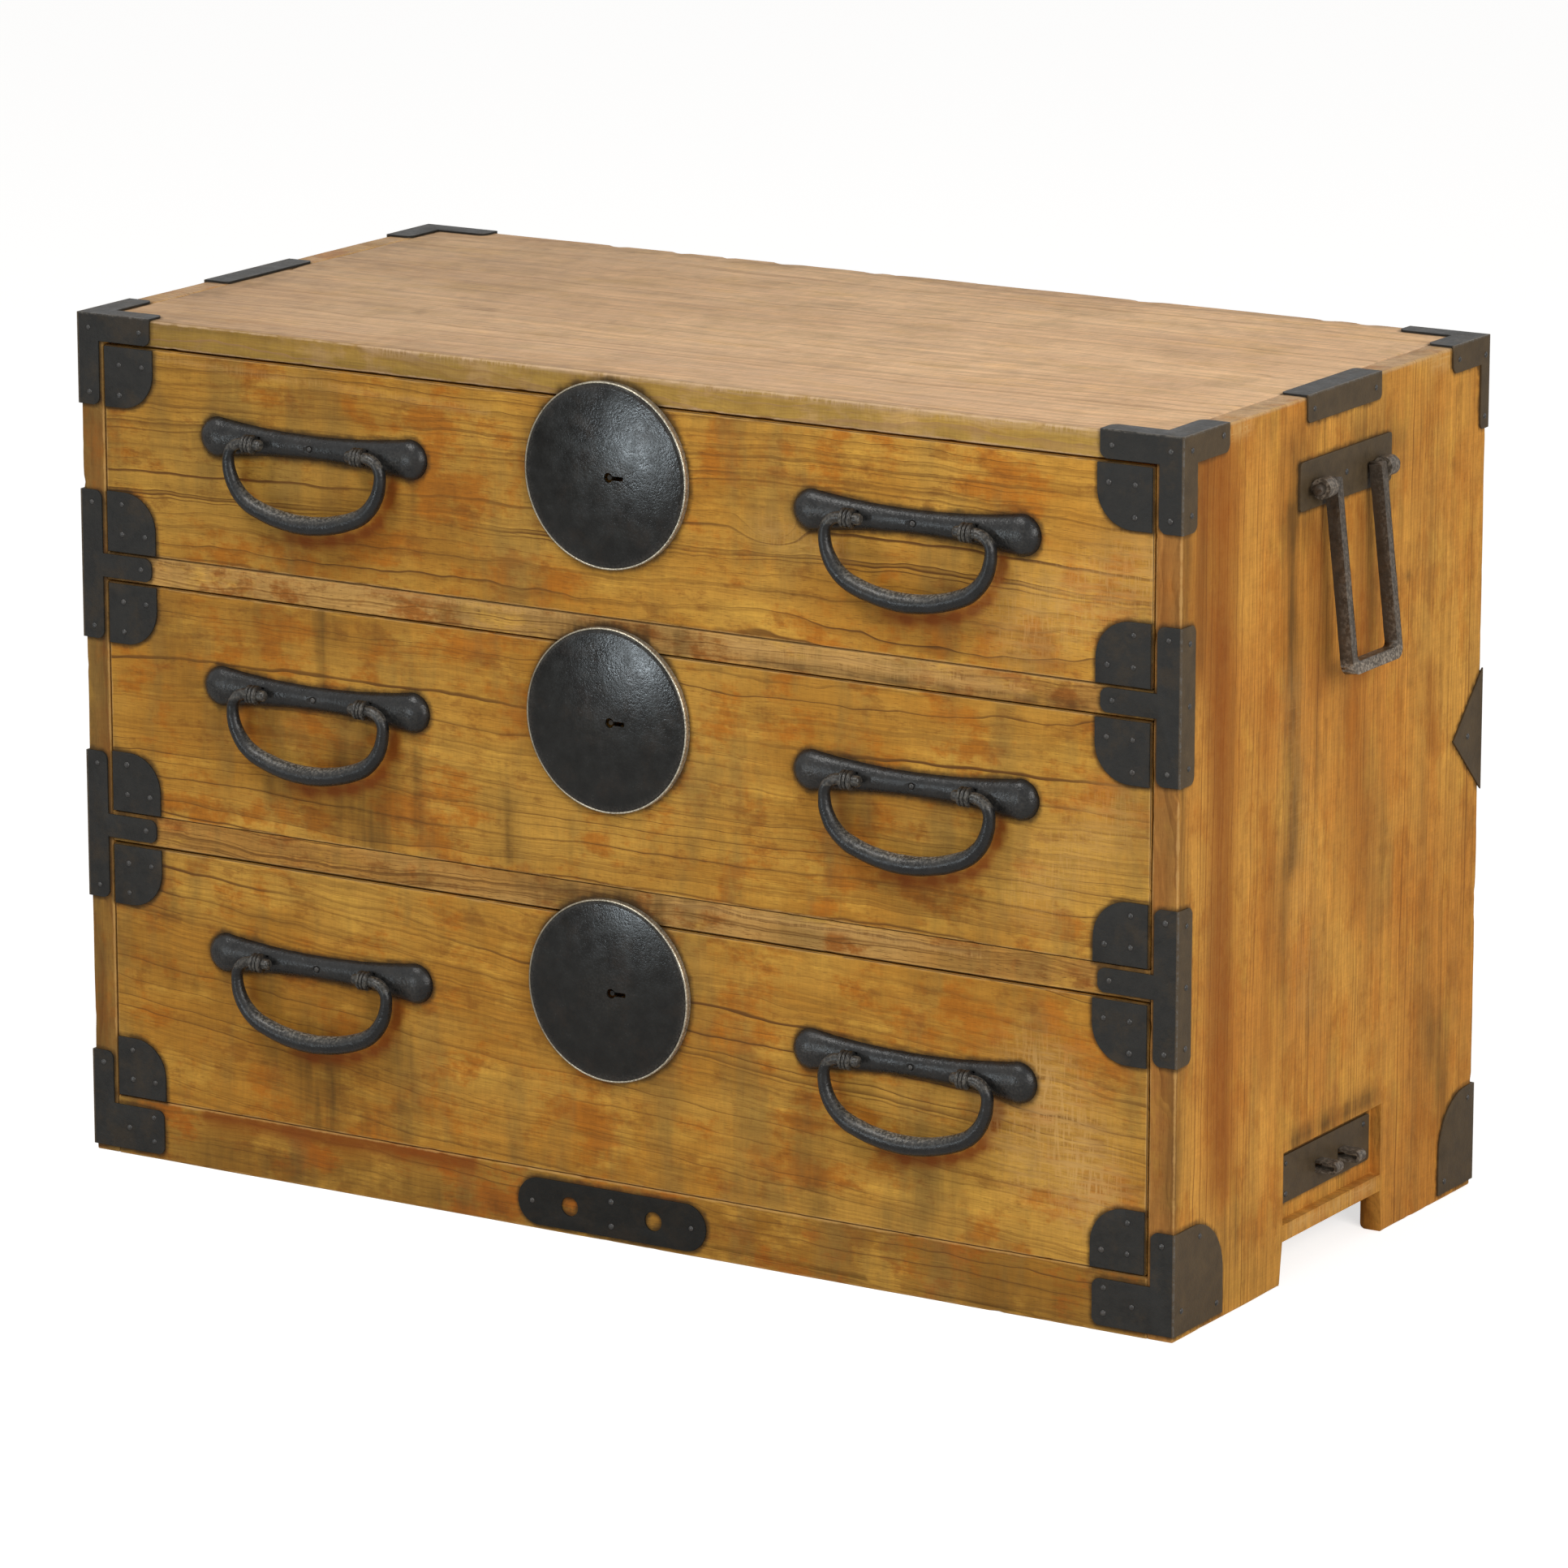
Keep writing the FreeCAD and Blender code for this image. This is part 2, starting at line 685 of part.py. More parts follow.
def make_rail_iron(name, middle):
    """T-shaped iron where a rail meets the post, folded round the side."""
    iron = body(name)
    top = middle + s.tee_tall / 2
    low = middle - s.tee_tall / 2
    post = half - s.strap_wide
    arm = half - s.tee_reach
    turn = s.iron_round
    front = [
        (edge_x, low),
        (post, low, turn),
        (post, middle - s.tee_arm / 2),
        (arm, middle - s.tee_arm / 2, turn),
        (arm, middle + s.tee_arm / 2, turn),
        (post, middle + s.tee_arm / 2),
        (post, top, turn),
        (edge_x, top),
    ]
    pad(iron, name + "_front", "xz", front, *front_face)
    side = [(edge_y, low), (s.strap_side, low, turn), (s.strap_side, top, turn), (edge_y, top)]
    pad(iron, name + "_side", "yz", side, *right_face)
    return iron


foot_low = s.foot_gap
foot_top = s.foot_gap + s.foot_tall


def make_base_corner():
    """Front base corner iron with its big rounded flap on the side."""
    iron = body("base_corner_iron")
    post = half - s.strap_wide
    arm = half - s.arm_long
    turn = s.iron_round
    front = [
        (edge_x, foot_low),
        (arm, foot_low, turn),
        (arm, foot_low + s.foot_arm, turn),
        (post, foot_low + s.foot_arm),
        (post, foot_top, turn),
        (edge_x, foot_top),
    ]
    pad(iron, "foot_front", "xz", front, *front_face)
    side = [
        (edge_y, foot_low),
        (s.foot_side, foot_low),
        (s.foot_side, foot_top, s.foot_round),
        (edge_y, foot_top),
    ]
    pad(iron, "foot_side_flap", "yz", side, *right_face)
    return iron


def make_rear_base():
    """Rear base corner iron: rounded flap on the side, strap on the back."""
    iron = body("rear_base_iron")
    reach = s.depth - s.rear_foot_side
    side = [
        (edge_back, foot_low),
        (reach, foot_low),
        (reach, foot_top, s.foot_round),
        (edge_back, foot_top),
    ]
    pad(iron, "rear_foot_side_flap", "yz", side, *right_face)
    wrap = half - s.rear_wrap
    back = [(edge_x, foot_low), (wrap, foot_low), (wrap, foot_top, s.iron_round), (edge_x, foot_top)]
    pad(iron, "rear_foot_back", "xz", back, *back_face)
    return iron


def make_spear():
    """Pointed iron folded round the rear edge."""
    iron = body("spear_iron")
    point = s.depth - s.spear_reach
    side = [(edge_back, s.spear_low), (point, s.spear_point), (edge_back, s.spear_top)]
    pad(iron, "spear_side", "yz", side, *right_face)
    point = half - s.spear_reach
    back = [(edge_x, s.spear_low), (point, s.spear_point), (edge_x, s.spear_top)]
    pad(iron, "spear_back", "xz", back, *back_face)
    return iron


def make_rear_top():
    """Rear top corner iron: side, back and top faces."""
    iron = body("rear_top_iron")
    under = s.height - s.arm_high
    foot = s.height - s.corner_drop
    reach = s.depth - s.rear_arm
    post = s.depth - s.rear_strap
    turn = s.iron_round
    tip = s.clip_round
    side = angle_plate(edge_back, post, reach, edge_top, under, foot, turn, tip)
    pad(iron, "rear_corner_side", "yz", side, *right_face)
    arm = half - s.arm_long
    back = angle_plate(
        edge_x, half - s.rear_strap, arm, edge_top, under, foot, turn, tip
    )
    pad(iron, "rear_corner_back", "xz", back, *back_face)
    lid = angle_plate(
        edge_x, half - s.clip_over, arm, edge_back, s.depth - s.strap_wide, reach, turn, turn
    )
    pad(iron, "rear_corner_lid", "xy", lid, *top_face)
    return iron


def make_clip(name, middle):
    """Iron folded over the right top edge, its middle so far from the front."""
    iron = body(name)
    near = middle - s.clip_long / 2
    far = middle + s.clip_long / 2
    under = s.height - s.clip_drop
    turn = s.clip_round
    side = [(near, edge_top), (near, under, turn), (far, under, turn), (far, edge_top)]
    pad(iron, name + "_side", "yz", side, *right_face)
    over = half - s.clip_over
    lid = [(edge_x, near), (over, near, turn), (over, far, turn), (edge_x, far)]
    pad(iron, name + "_lid", "xy", lid, *top_face)
    return iron


def make_base_centre():
    """Long rounded iron in the middle of the base rail, with two holes."""
    iron = body("base_centre_body")
    high = s.base_low + s.base_high
    turn = s.base_high / 2 - flat
    shape = rectangle((-(s.base_long / 2), s.base_long / 2), (s.base_low, high), turn)
    pad(iron, "base_centre_plate", "xz", shape, *front_face)
    middle = s.base_low + s.base_high / 2
    holes = [(-s.base_hole_out, middle, s.base_hole), (s.base_hole_out, middle, s.base_hole)]
    pocket(iron, "base_centre_holes", "xz", holes, edge_y - beyond, beyond)
    return iron


top_tee = (mid_ceiling + top_floor) / 2
low_tee = (low_ceiling + mid_floor) / 2

# ------------------------------------------------- side plates, eyes and bails


def eye_plate(name, middle, face):
    """A plate of the side fittings, lying on a face of the side panel."""
    plate = body(name)
    shape = rectangle(
        (s.grip_middle - s.side_plate_long / 2, s.grip_middle + s.side_plate_long / 2),
        (middle - s.side_plate_high / 2, middle + s.side_plate_high / 2),
        s.side_plate_round,
    )
    pad(plate, name + "_plate", "yz", shape, face, face + s.side_plate_iron)
    return plate


recess_floor = half - s.recess_deep
upper_plate = eye_plate("upper_eye_plate", s.carry_height + s.side_plate_up, half)
lower_plate = eye_plate("lower_eye_plate", s.rope_plate_height, recess_floor)

pin_bore = s.pin_radius + s.pin_room


def make_carry_eye():
    """Eye of the carrying bail: a strap folded round the pin, at its pivot."""
    eye = body("carry_eye")
    reach = s.carry_proud + s.carry_shank_long
    wide = s.carry_eye_wide / 2
    pad(eye, "carry_ring", "xz", (0, 0, pin_bore + s.carry_eye_wall), -wide, wide)
    shank = rectangle((-reach, 0), (-s.carry_eye_wall, s.carry_eye_wall))
    pad(eye, "carry_shank", "xz", shank, -wide, wide)
    pocket(eye, "carry_eye_bore", "xz", [(0, 0, pin_bore)], -wide - beyond, wide + beyond)
    return eye


def make_rope_eye():
    """Flat hairpin eye in the recess: x = 0 is the face of its plate."""
    eye = body("rope_eye")
    wide = s.rope_wide / 2
    tall = s.rope_high / 2
    slit = tall - s.rope_wall
    nose = s.rope_reach
    outer = [
        (-s.rope_shank, -tall),
        (nose, -tall, tall - flat),
        (nose, tall, tall - flat),
        (-s.rope_shank, tall),
    ]
    pad(eye, "rope_loop", "xz", outer, -wide, wide)
    inside = nose - s.rope_wall
    gap = [
        (-s.rope_shank - beyond, -slit),
        (inside, -slit, slit - flat),
        (inside, slit, slit - flat),
        (-s.rope_shank - beyond, slit),
    ]
    pocket(eye, "rope_gap", "xz", [gap], -wide - beyond, wide + beyond)
    return eye


def make_carry_bail():
    """The carrying bail, hanging from its pins along y at z = 0."""
    bail = body("carry_bail")
    outer = s.carry_half + s.carry_bar / 2
    inside = s.carry_half - s.carry_bar / 2
    top = s.carry_deep / 2
    low = -s.carry_drop
    shape = [
        (-outer, top, s.carry_head),
        (-outer, low, s.carry_round),
        (outer, low, s.carry_round),
        (outer, top, s.carry_head),
        (inside, top, s.carry_neck),
        (inside, low + s.carry_foot, s.carry_bow_round),
        (-inside, low + s.carry_foot, s.carry_bow_round),
        (-inside, top, s.carry_neck),
    ]
    pad(bail, "carry_bow", "yz", shape, -s.carry_deep / 2, s.carry_deep / 2)
    for name, low_y, high_y in (
        ("front_pin", -s.carry_tip, -outer + beyond),
        ("rear_pin", outer - beyond, s.carry_tip),
    ):
        pad(bail, name, "xz", (0, 0, s.pin_radius), low_y, high_y)
    return bail


carry_eye = make_carry_eye()
rope_eye = make_rope_eye()
carry_bail = make_carry_bail()
carry_x = half + s.carry_proud


def lean_bail():
    """The right carrying bail on its pivot, leaning out as it rests."""
    copy = link("carry_bail_hung", carry_bail, carry_x, s.grip_middle, s.carry_height)
    turn = FreeCAD.Rotation(FreeCAD.Vector(0, -1, 0), s.carry_lean.value)
    copy.Placement = FreeCAD.Placement(copy.Placement.Base, turn)
    copy.setExpression("Placement.Rotation.Angle", s.carry_lean.text)
    return copy


# ----------------------------------------------------------------- drawer bails


def corner_bend():
    """Bend radius at a lower corner, limited so that the arm stays straight above it."""
    reach = s.bail_sweep - s.bail_drop + s.bail_elbow + flat
    spare = s.bail_sweep * s.bail_sweep - s.bail_half * s.bail_half - reach * reach
    return s.bail_corner.least(spare / ((s.bail_sweep - s.bail_half) * 2))


def make_bail_path(bail):
    """Half of the bar's centre line: inner end, elbow, arm, corner, bottom."""
    bend = corner_bend()
    across_arc = s.bail_sweep - bend
    corner_x = s.bail_half - bend
    sweep_z = s.bail_sweep - s.bail_drop
    corner_z = sweep_z - (across_arc * across_arc - corner_x * corner_x).root()
    ratio = s.bail_sweep / across_arc
    meet = (corner_x * ratio, sweep_z + (corner_z - sweep_z) * ratio)
    path = sketch_on(bail, "bail_path", "xz")
    steps = [
        ((s.bail_tip, 0), None),
        ((s.bail_half - s.bail_elbow, 0), (s.bail_half - s.bail_elbow, -s.bail_elbow)),
        ((s.bail_half, -s.bail_elbow), None),
        ((s.bail_half, corner_z), (corner_x, corner_z)),
        (meet, (0, sweep_z)),
        ((0, -s.bail_drop), None),
    ]
    points = [FreeCAD.Vector(size_of(u).value, size_of(v).value, 0) for (u, v), _ in steps]
    for index, (_, centre) in enumerate(steps[:-1]):
        start, end = points[index], points[index + 1]
        if centre is None:
            path.addGeometry(Part.LineSegment(start, end))
            first, last = 1, 2
        else:
            middle = FreeCAD.Vector(size_of(centre[0]).value, size_of(centre[1]).value, 0)
            path.addGeometry(quarter(middle, start, end, -1))
            first, last = 2, 1
            pin_point(path, index, 3, centre[0])
        pin_point(path, index, first, *steps[index][0])
        pin_point(path, index, last, *steps[index + 1][0])
    return path, [point for point, _ in steps], meet, sweep_z


def bar_section(bail, name, point, way, radius):
    """A circle across the bar at a point, facing along way."""
    section = bail.newObject("Sketcher::SketchObject", name)
    circle(section, 0, 0, radius)
    towards = FreeCAD.Vector(way[0], 0, way[1])
    section.Placement = FreeCAD.Placement(
        FreeCAD.Vector(), FreeCAD.Rotation(FreeCAD.Vector(0, 0, 1), towards)
    )
    return move(section, point[0], 0, point[1])


def make_bail():
    """A drop bail with its pins along x at z = 0, thickest at the bottom."""
    bail = body("drawer_bail")
    path, points, meet, sweep_z = make_bail_path(bail)
    out_x, out_z = meet[0].value, (meet[1] - sweep_z).value
    ways = [(1, 0), (1, 0), (0, -1), (0, -1), (out_z, -out_x), (-1, 0)]
    radii = [
        s.pin_radius, s.pin_radius, s.arm_radius, s.arm_radius, s.corner_radius, s.grip_radius,
    ]
    names = ["tip", "elbow", "arm", "knee", "corner", "grip"]
    sections = [
        bar_section(bail, "bail_" + name, *rest)
        for name, *rest in zip(names, points, ways, radii)
    ]
    doc.recompute()
    runs = []
    for index in range(len(sections) - 1):
        run = bail.newObject("PartDesign::AdditivePipe", f"bail_run_{index + 1}")
        run.Profile = sections[index]
        run.Spine = (path, [f"Edge{index + 1}"])
        run.Transformation = "Multisection"
        run.Sections = [sections[index + 1]]
        doc.recompute()
        runs.append(run)
    twin = bail.newObject("PartDesign::Mirrored", "bail_other_half")
    twin.Originals = runs
    twin.MirrorPlane = (plane_of(bail, "YZ_Plane"), [""])
    bail.Tip = twin
    doc.recompute()
    return bail


def block(name, wide, y, z):
    """A box centred on x = 0 between pairs of sizes along y and z."""
    return box(name, (-(size_of(wide) / 2), size_of(wide) / 2), y, z)


def y_rod(name, radius, low, high, x=0, z=0):
    """A round bar along y."""
    thing = doc.addObject("Part::Cylinder", name)
    thing.Placement.Rotation = FreeCAD.Rotation(
        FreeCAD.Vector(0, 0, 1), FreeCAD.Vector(0, 1, 0)
    )
    bind(thing, "Radius", radius)
    bind(thing, "Height", size_of(high) - low)
    return move(thing, x, low, z)


def x_rod(name, radius, low, high):
    """A round bar along x."""
    thing = doc.addObject("Part::Cylinder", name)
    thing.Placement.Rotation = FreeCAD.Rotation(
        FreeCAD.Vector(0, 0, 1), FreeCAD.Vector(1, 0, 0)
    )
    bind(thing, "Radius", radius)
    bind(thing, "Height", size_of(high) - low)
    return move(thing, x=low)


def make_eye():
    """Ridged eye of a drop bail, at its pivot, with a clinched split shank."""
    wide = s.eye_wide / 2
    collar = pin_bore + s.eye_wall
    parts = [x_rod("eye_collar", collar, -wide, wide)]
    for number in (-1, 0, 1):
        ridge = doc.addObject("Part::Torus", f"eye_ridge_{number + 2}")
        ridge.Placement.Rotation = FreeCAD.Rotation(
            FreeCAD.Vector(0, 0, 1), FreeCAD.Vector(1, 0, 0)
        )
        bind(ridge, "Radius1", collar)
        bind(ridge, "Radius2", s.ridge_radius)
        parts.append(move(ridge, x=s.eye_wide / 3 * number))
    tall = s.shank_high / 2
    inside = s.bail_proud + s.drawer_front
    parts.append(block("eye_shank", s.eye_wide, (0, inside + s.tail_thick), (-tall, tall)))
    tails = (-s.tail_long, s.tail_long)
    parts.append(block("eye_tails", s.tail_wide, (inside, inside + s.tail_thick), tails))
    whole = fuse("eye_whole", *parts)
    hole = x_rod("eye_hole", pin_bore, -wide - beyond, wide + beyond)
    return cut("drawer_eye", whole, hole)


cup_seat = s.neck_proud - s.cup_sink


def cup_station(number, share):
    """One cross-section of a back-plate, a share of the way to its end."""
    ring = doc.addObject("Part::Ellipse", f"cup_station_{number}")
    ring.Placement.Rotation = FreeCAD.Rotation(FreeCAD.Vector(0, 1, 0), -90)
    ease = 1 - share * share
    bind(ring, "MajorRadius", s.cup_radius - (s.cup_radius - s.neck_half) * ease)
    bind(ring, "MinorRadius", s.cup_proud - (s.cup_proud - s.neck_proud) * ease)
    return move(ring, x=s.cup_out * share)


def make_cup_plate():
    """Waisted convex back-plate of a drop bail, with slots for two eyes."""
    shares = (-1, -0.75, -0.4, 0, 0.4, 0.75, 1)
    waist = doc.addObject("Part::Loft", "cup_waist")
    waist.Sections = [cup_station(number, share) for number, share in enumerate(shares, 1)]
    waist.Solid = True
    ends = []
    for number, share in enumerate((-1, 1), 1):
        end = doc.addObject("Part::Ellipsoid", f"cup_end_{number}")
        bind(end, "Radius1", s.cup_radius)
        bind(end, "Radius2", s.cup_radius)
        bind(end, "Radius3", s.cup_proud)
        end.Angle1 = -90
        ends.append(move(end, x=s.cup_out * share))
    long = (s.cup_out + s.cup_radius + beyond) * 2
    tall = s.cup_radius + beyond
    rear = block("cup_rear", long, (0, s.cup_proud + beyond), (-tall, tall))
    halves = [
        cut(f"cup_half_{number}", piece, rear)
        for number, piece in enumerate([waist] + ends, start=1)
    ]
    whole = fuse("cup_whole", *halves)
    slot_tall = s.shank_high / 2 + s.cup_slot_room
    slots = []
    for number, side in enumerate((-1, 1), 1):
        slot = block(
            f"cup_slot_{number}", s.eye_wide + s.shank_room * 2,
            (-s.bail_proud, beyond), (-slot_tall, slot_tall),
        )
        bind(slot, "Placement.Base.x", s.eye_out * side - (s.eye_wide / 2 + s.shank_room))
        slots.append(slot)
    seat = y_rod("cup_nail_seat", s.nail_head + s.nail_room, -s.bail_proud, -cup_seat)
    hole = y_rod("cup_nail_hole", s.nail_shank + s.nail_room, -s.bail_proud, beyond)
    return cut("cup_plate", whole, *slots, seat, hole)


# ------------------------------------------------------------------------ locks


def key_opening(name, room, low, high):
    """A keyhole's shape along y, wider by room all round."""
    round_end = y_rod(name + "_round", s.key_round + room, low, high, s.key_off)
    tall = s.key_slot / 2 + room
    slot = box(
        name + "_slot", (s.key_off, s.key_off + s.key_reach + room), (low, high), (-tall, tall)
    )
    return group(name, [round_end, slot])


def make_lock_plate():
    """Shallow iron dome with the keyhole, about its own middle."""
    radius = s.plate_radius - s.rim_wall - s.rim_room
    rise = s.dome_proud - s.rim_proud
    ball_radius = (radius * radius + rise * rise) / (rise * 2)
    balls = []
    for name, size in (("dome_outside", ball_radius), ("dome_inside", ball_radius - s.dome_wall)):
        ball = doc.addObject("Part::Sphere", name)
        bind(ball, "Radius", size)
        balls.append(move(ball, y=ball_radius - s.dome_proud))
    stock = y_rod("dome_stock", radius, -s.dome_proud - beyond, 0)
    cap = doc.addObject("Part::Common", "dome_cap")
    cap.Base = stock
    cap.Tool = balls[0]
    keyhole = key_opening("keyhole", 0, -s.dome_proud - beyond, 0)
    return cut("lock_dome", cap, balls[1], keyhole)


def make_lock_ring():
    """The turned-back rim round the dome."""
    ring = body("lock_ring_body")
    outline_ring = sketch_on(ring, "ring_outline", "xz", -s.plate_off)
    circle(outline_ring, 0, 0, s.plate_radius)
    circle(outline_ring, 0, 0, s.plate_radius - s.rim_wall)
    wall = ring.newObject("PartDesign::Pad", "ring_wall")
    wall.Profile = outline_ring
    bind(wall, "Length", s.rim_proud - s.plate_off)
    return ring


bolt_y = s.drawer_front + s.bolt_behind


def make_lock_case(name, lock_z, high):
    """Lock case behind a drawer front, open towards it, with its drill pin."""
    top = high - s.case_top
    low = lock_z - s.case_below
    back = s.drawer_front + s.case_deep
    shell = block(name + "_shell", s.case_wide, (s.drawer_front, back), (low, top))
    hollow = block(
        name + "_hollow", s.case_wide - s.case_wall * 2,
        (s.drawer_front - beyond, back - s.case_wall), (low + s.case_wall, top - s.case_wall),
    )
    slot = block(
        name + "_slot", s.bolt_wide + s.bolt_room * 2,
        (bolt_y - s.bolt_room, bolt_y + s.bolt_thick + s.bolt_room),
        (top - s.case_wall - beyond, top + beyond),
    )
    case = cut(name + "_open", shell, hollow, slot)
    pin = y_rod(name + "_pin", s.drill_pin, -s.drill_proud, back, s.key_off, lock_z)
    return fuse(name + "_body", case, pin)


def make_bolt(name, high):
    """Flat bolt that slides up out of the lock case."""
    top = high - s.bolt_below
    return block(name, s.bolt_wide, (bolt_y, bolt_y + s.bolt_thick), (top - s.bolt_long, top))


def make_mortise(name, ceiling):
    """The pocket over a drawer that its bolt slides up into."""
    room = s.mortise_room
    rise = s.bolt_throw + s.mortise_over - s.drawer_over - s.bolt_below
    return block(
        name, s.bolt_wide + room * 2, (bolt_y - room, bolt_y + s.bolt_thick + room),
        (ceiling - beyond, ceiling + rise),
    )


# ---------------------------------------------------------------------- drawers

drawer_bail = make_bail()
drawer_eye = make_eye()
cup_plate = make_cup_plate()
lock_dome = make_lock_plate()
lock_ring = make_lock_ring()
drawer_half = inner - s.drawer_beside
bail_out = inner - s.bail_in
drawer_rear = s.depth - s.back_board - s.drawer_behind


def make_drawer_iron():
    """Corner iron of a drawer, for the lower right corner at the origin."""
    iron = body("drawer_iron")
    shape = [
        (0, 0),
        (0, s.drawer_iron_high),
        (-s.drawer_iron_long, s.drawer_iron_high, s.drawer_iron_round),
        (-s.drawer_iron_long, 0),
    ]
    pad(iron, "drawer_iron_plate", "xz", shape, *front_face)
    return iron


drawer_iron = make_drawer_iron()
drawer_iron_twin = mirrored("drawer_iron_twin", drawer_iron)
finished = {}


def finish(node, *things):
    """Gather a node's pieces and set them in the chest's own frame."""
    piece = group(node, list(things))
    piece.Label = node
    finished[node] = move(piece, y=front_y)


def corner_irons(name, low, high):
    """The four corner irons of a drawer front and the spots of their nails."""
    edge = drawer_half - s.drawer_iron_inset
    low = low + s.drawer_iron_inset
    high = high - s.drawer_iron_inset
    over = FreeCAD.Rotation(FreeCAD.Vector(0, 1, 0), 180)
    irons = [
        link(name + "_1", drawer_iron, x=edge, z=low),
        link(name + "_2", drawer_iron_twin, x=-edge, z=low),
        link(name + "_3", drawer_iron, x=-edge, z=high, turn=over),
        link(name + "_4", drawer_iron_twin, x=edge, z=high, turn=over),
    ]
    inset = s.nail_corner
    far_x = s.drawer_iron_long - s.nail_end
    far_z = s.drawer_iron_high - s.nail_end
    spots = []
    for across_by, up_by in ((inset, inset), (far_x, inset), (inset, far_z)):
        spots.append(("front", edge - across_by, -s.iron, low + up_by))
        spots.append(("front", edge - across_by, -s.iron, high - up_by))
    return group(name, irons), on_both_sides(spots)


def make_drawer(name, floor, ceiling, bail_drop):
    """One drawer with its lock, corner irons, back-plates, eyes and bails."""
    low = floor + s.drawer_under
    high = ceiling - s.drawer_over
    lock_z = ceiling - s.plate_drop
    bail_z = ceiling - bail_drop
    full = drawer_half * 2
    clear = full - s.drawer_side * 2
    wall = (low + s.drawer_floor, high - s.side_lower)

    irons, spots = corner_irons(name + "_irons", low, high)
    cup_spots = on_both_sides([("front", bail_out, -cup_seat, bail_z)])
    nails, bores = drive(name + "_nail", spots + cup_spots)

    tall = s.shank_high / 2 + s.shank_room
    eyes = []
    slots = []
    cups = []
    for number, side in enumerate((-1, 1), 1):
        x = bail_out * side
        cups.append(link(f"{name}_cup_{number}", cup_plate, x=x, z=bail_z))
        for place, eye_side in enumerate((-1, 1), 1):
            eye_x = x + s.eye_out * eye_side
            tag = f"{name}_{number}_{place}"
            eyes.append(link(f"{tag}_eye", drawer_eye, eye_x, -s.bail_proud, bail_z))
            reach = s.eye_wide / 2 + s.shank_room
            slots.append(
                box(
                    f"{tag}_slot", (eye_x - reach, eye_x + reach),
                    (-beyond, s.drawer_front + beyond), (bail_z - tall, bail_z + tall),
                )
            )
    keyway = key_opening(name + "_keyway", s.key_room, -beyond, s.drawer_front + beyond)
    move(keyway, z=lock_z)

    board = block(name + "_board", full, (0, s.drawer_front), (low, high))
    finish(name + "_front", cut(name + "_board_cut", board, bores, keyway, *slots))
    deep = (s.drawer_front, drawer_rear)
    side = box(name + "_side", (drawer_half - s.drawer_side, drawer_half), deep, wall)
    finish(name + "_sides", both(name + "_side_pair", side))
    back = (drawer_rear - s.drawer_back, drawer_rear)
    finish(name + "_back", block(name + "_back_board", clear, back, wall))
    finish(name + "_bottom", block(name + "_floor", full, deep, (low, low + s.drawer_floor)))
    finish(name + "_corner_irons", cut(name + "_irons_cut", irons, bores))
    finish(name + "_lock_plate", link(name + "_dome", lock_dome, z=lock_z))
    finish(name + "_lock_ring", link(name + "_ring", lock_ring, z=lock_z))
    finish(name + "_lock_case", make_lock_case(name + "_case", lock_z, high))
    finish(name + "_lock_bolt", make_bolt(name + "_bolt_bar", high))
    finish(name + "_handle_plates", *cups)
    finish(name + "_handle_eyes", *eyes)
    for word, side in (("left", -1), ("right", 1)):
        hung = link(f"{name}_{word}_hung", drawer_bail, bail_out * side, -s.bail_proud, bail_z)
        finish(f"{name}_bail_{word}", hung)
    finish(name + "_nails", nails)


make_drawer("top_drawer", top_floor, top_ceiling, s.top_bail_drop)
make_drawer("mid_drawer", mid_floor, mid_ceiling, s.mid_bail_drop)
make_drawer("low_drawer", low_floor, low_ceiling, s.low_bail_drop)

# -------------------------------------------------------------- case, assembled


def placed(face, u, z):
    """A nail spot on the front or right irons, at u along the face."""
    if face == "front":
        return (face, u, edge_y, z)
    if face == "back":
        return (face, u, edge_back, z)
    return (face, edge_x, u, z)


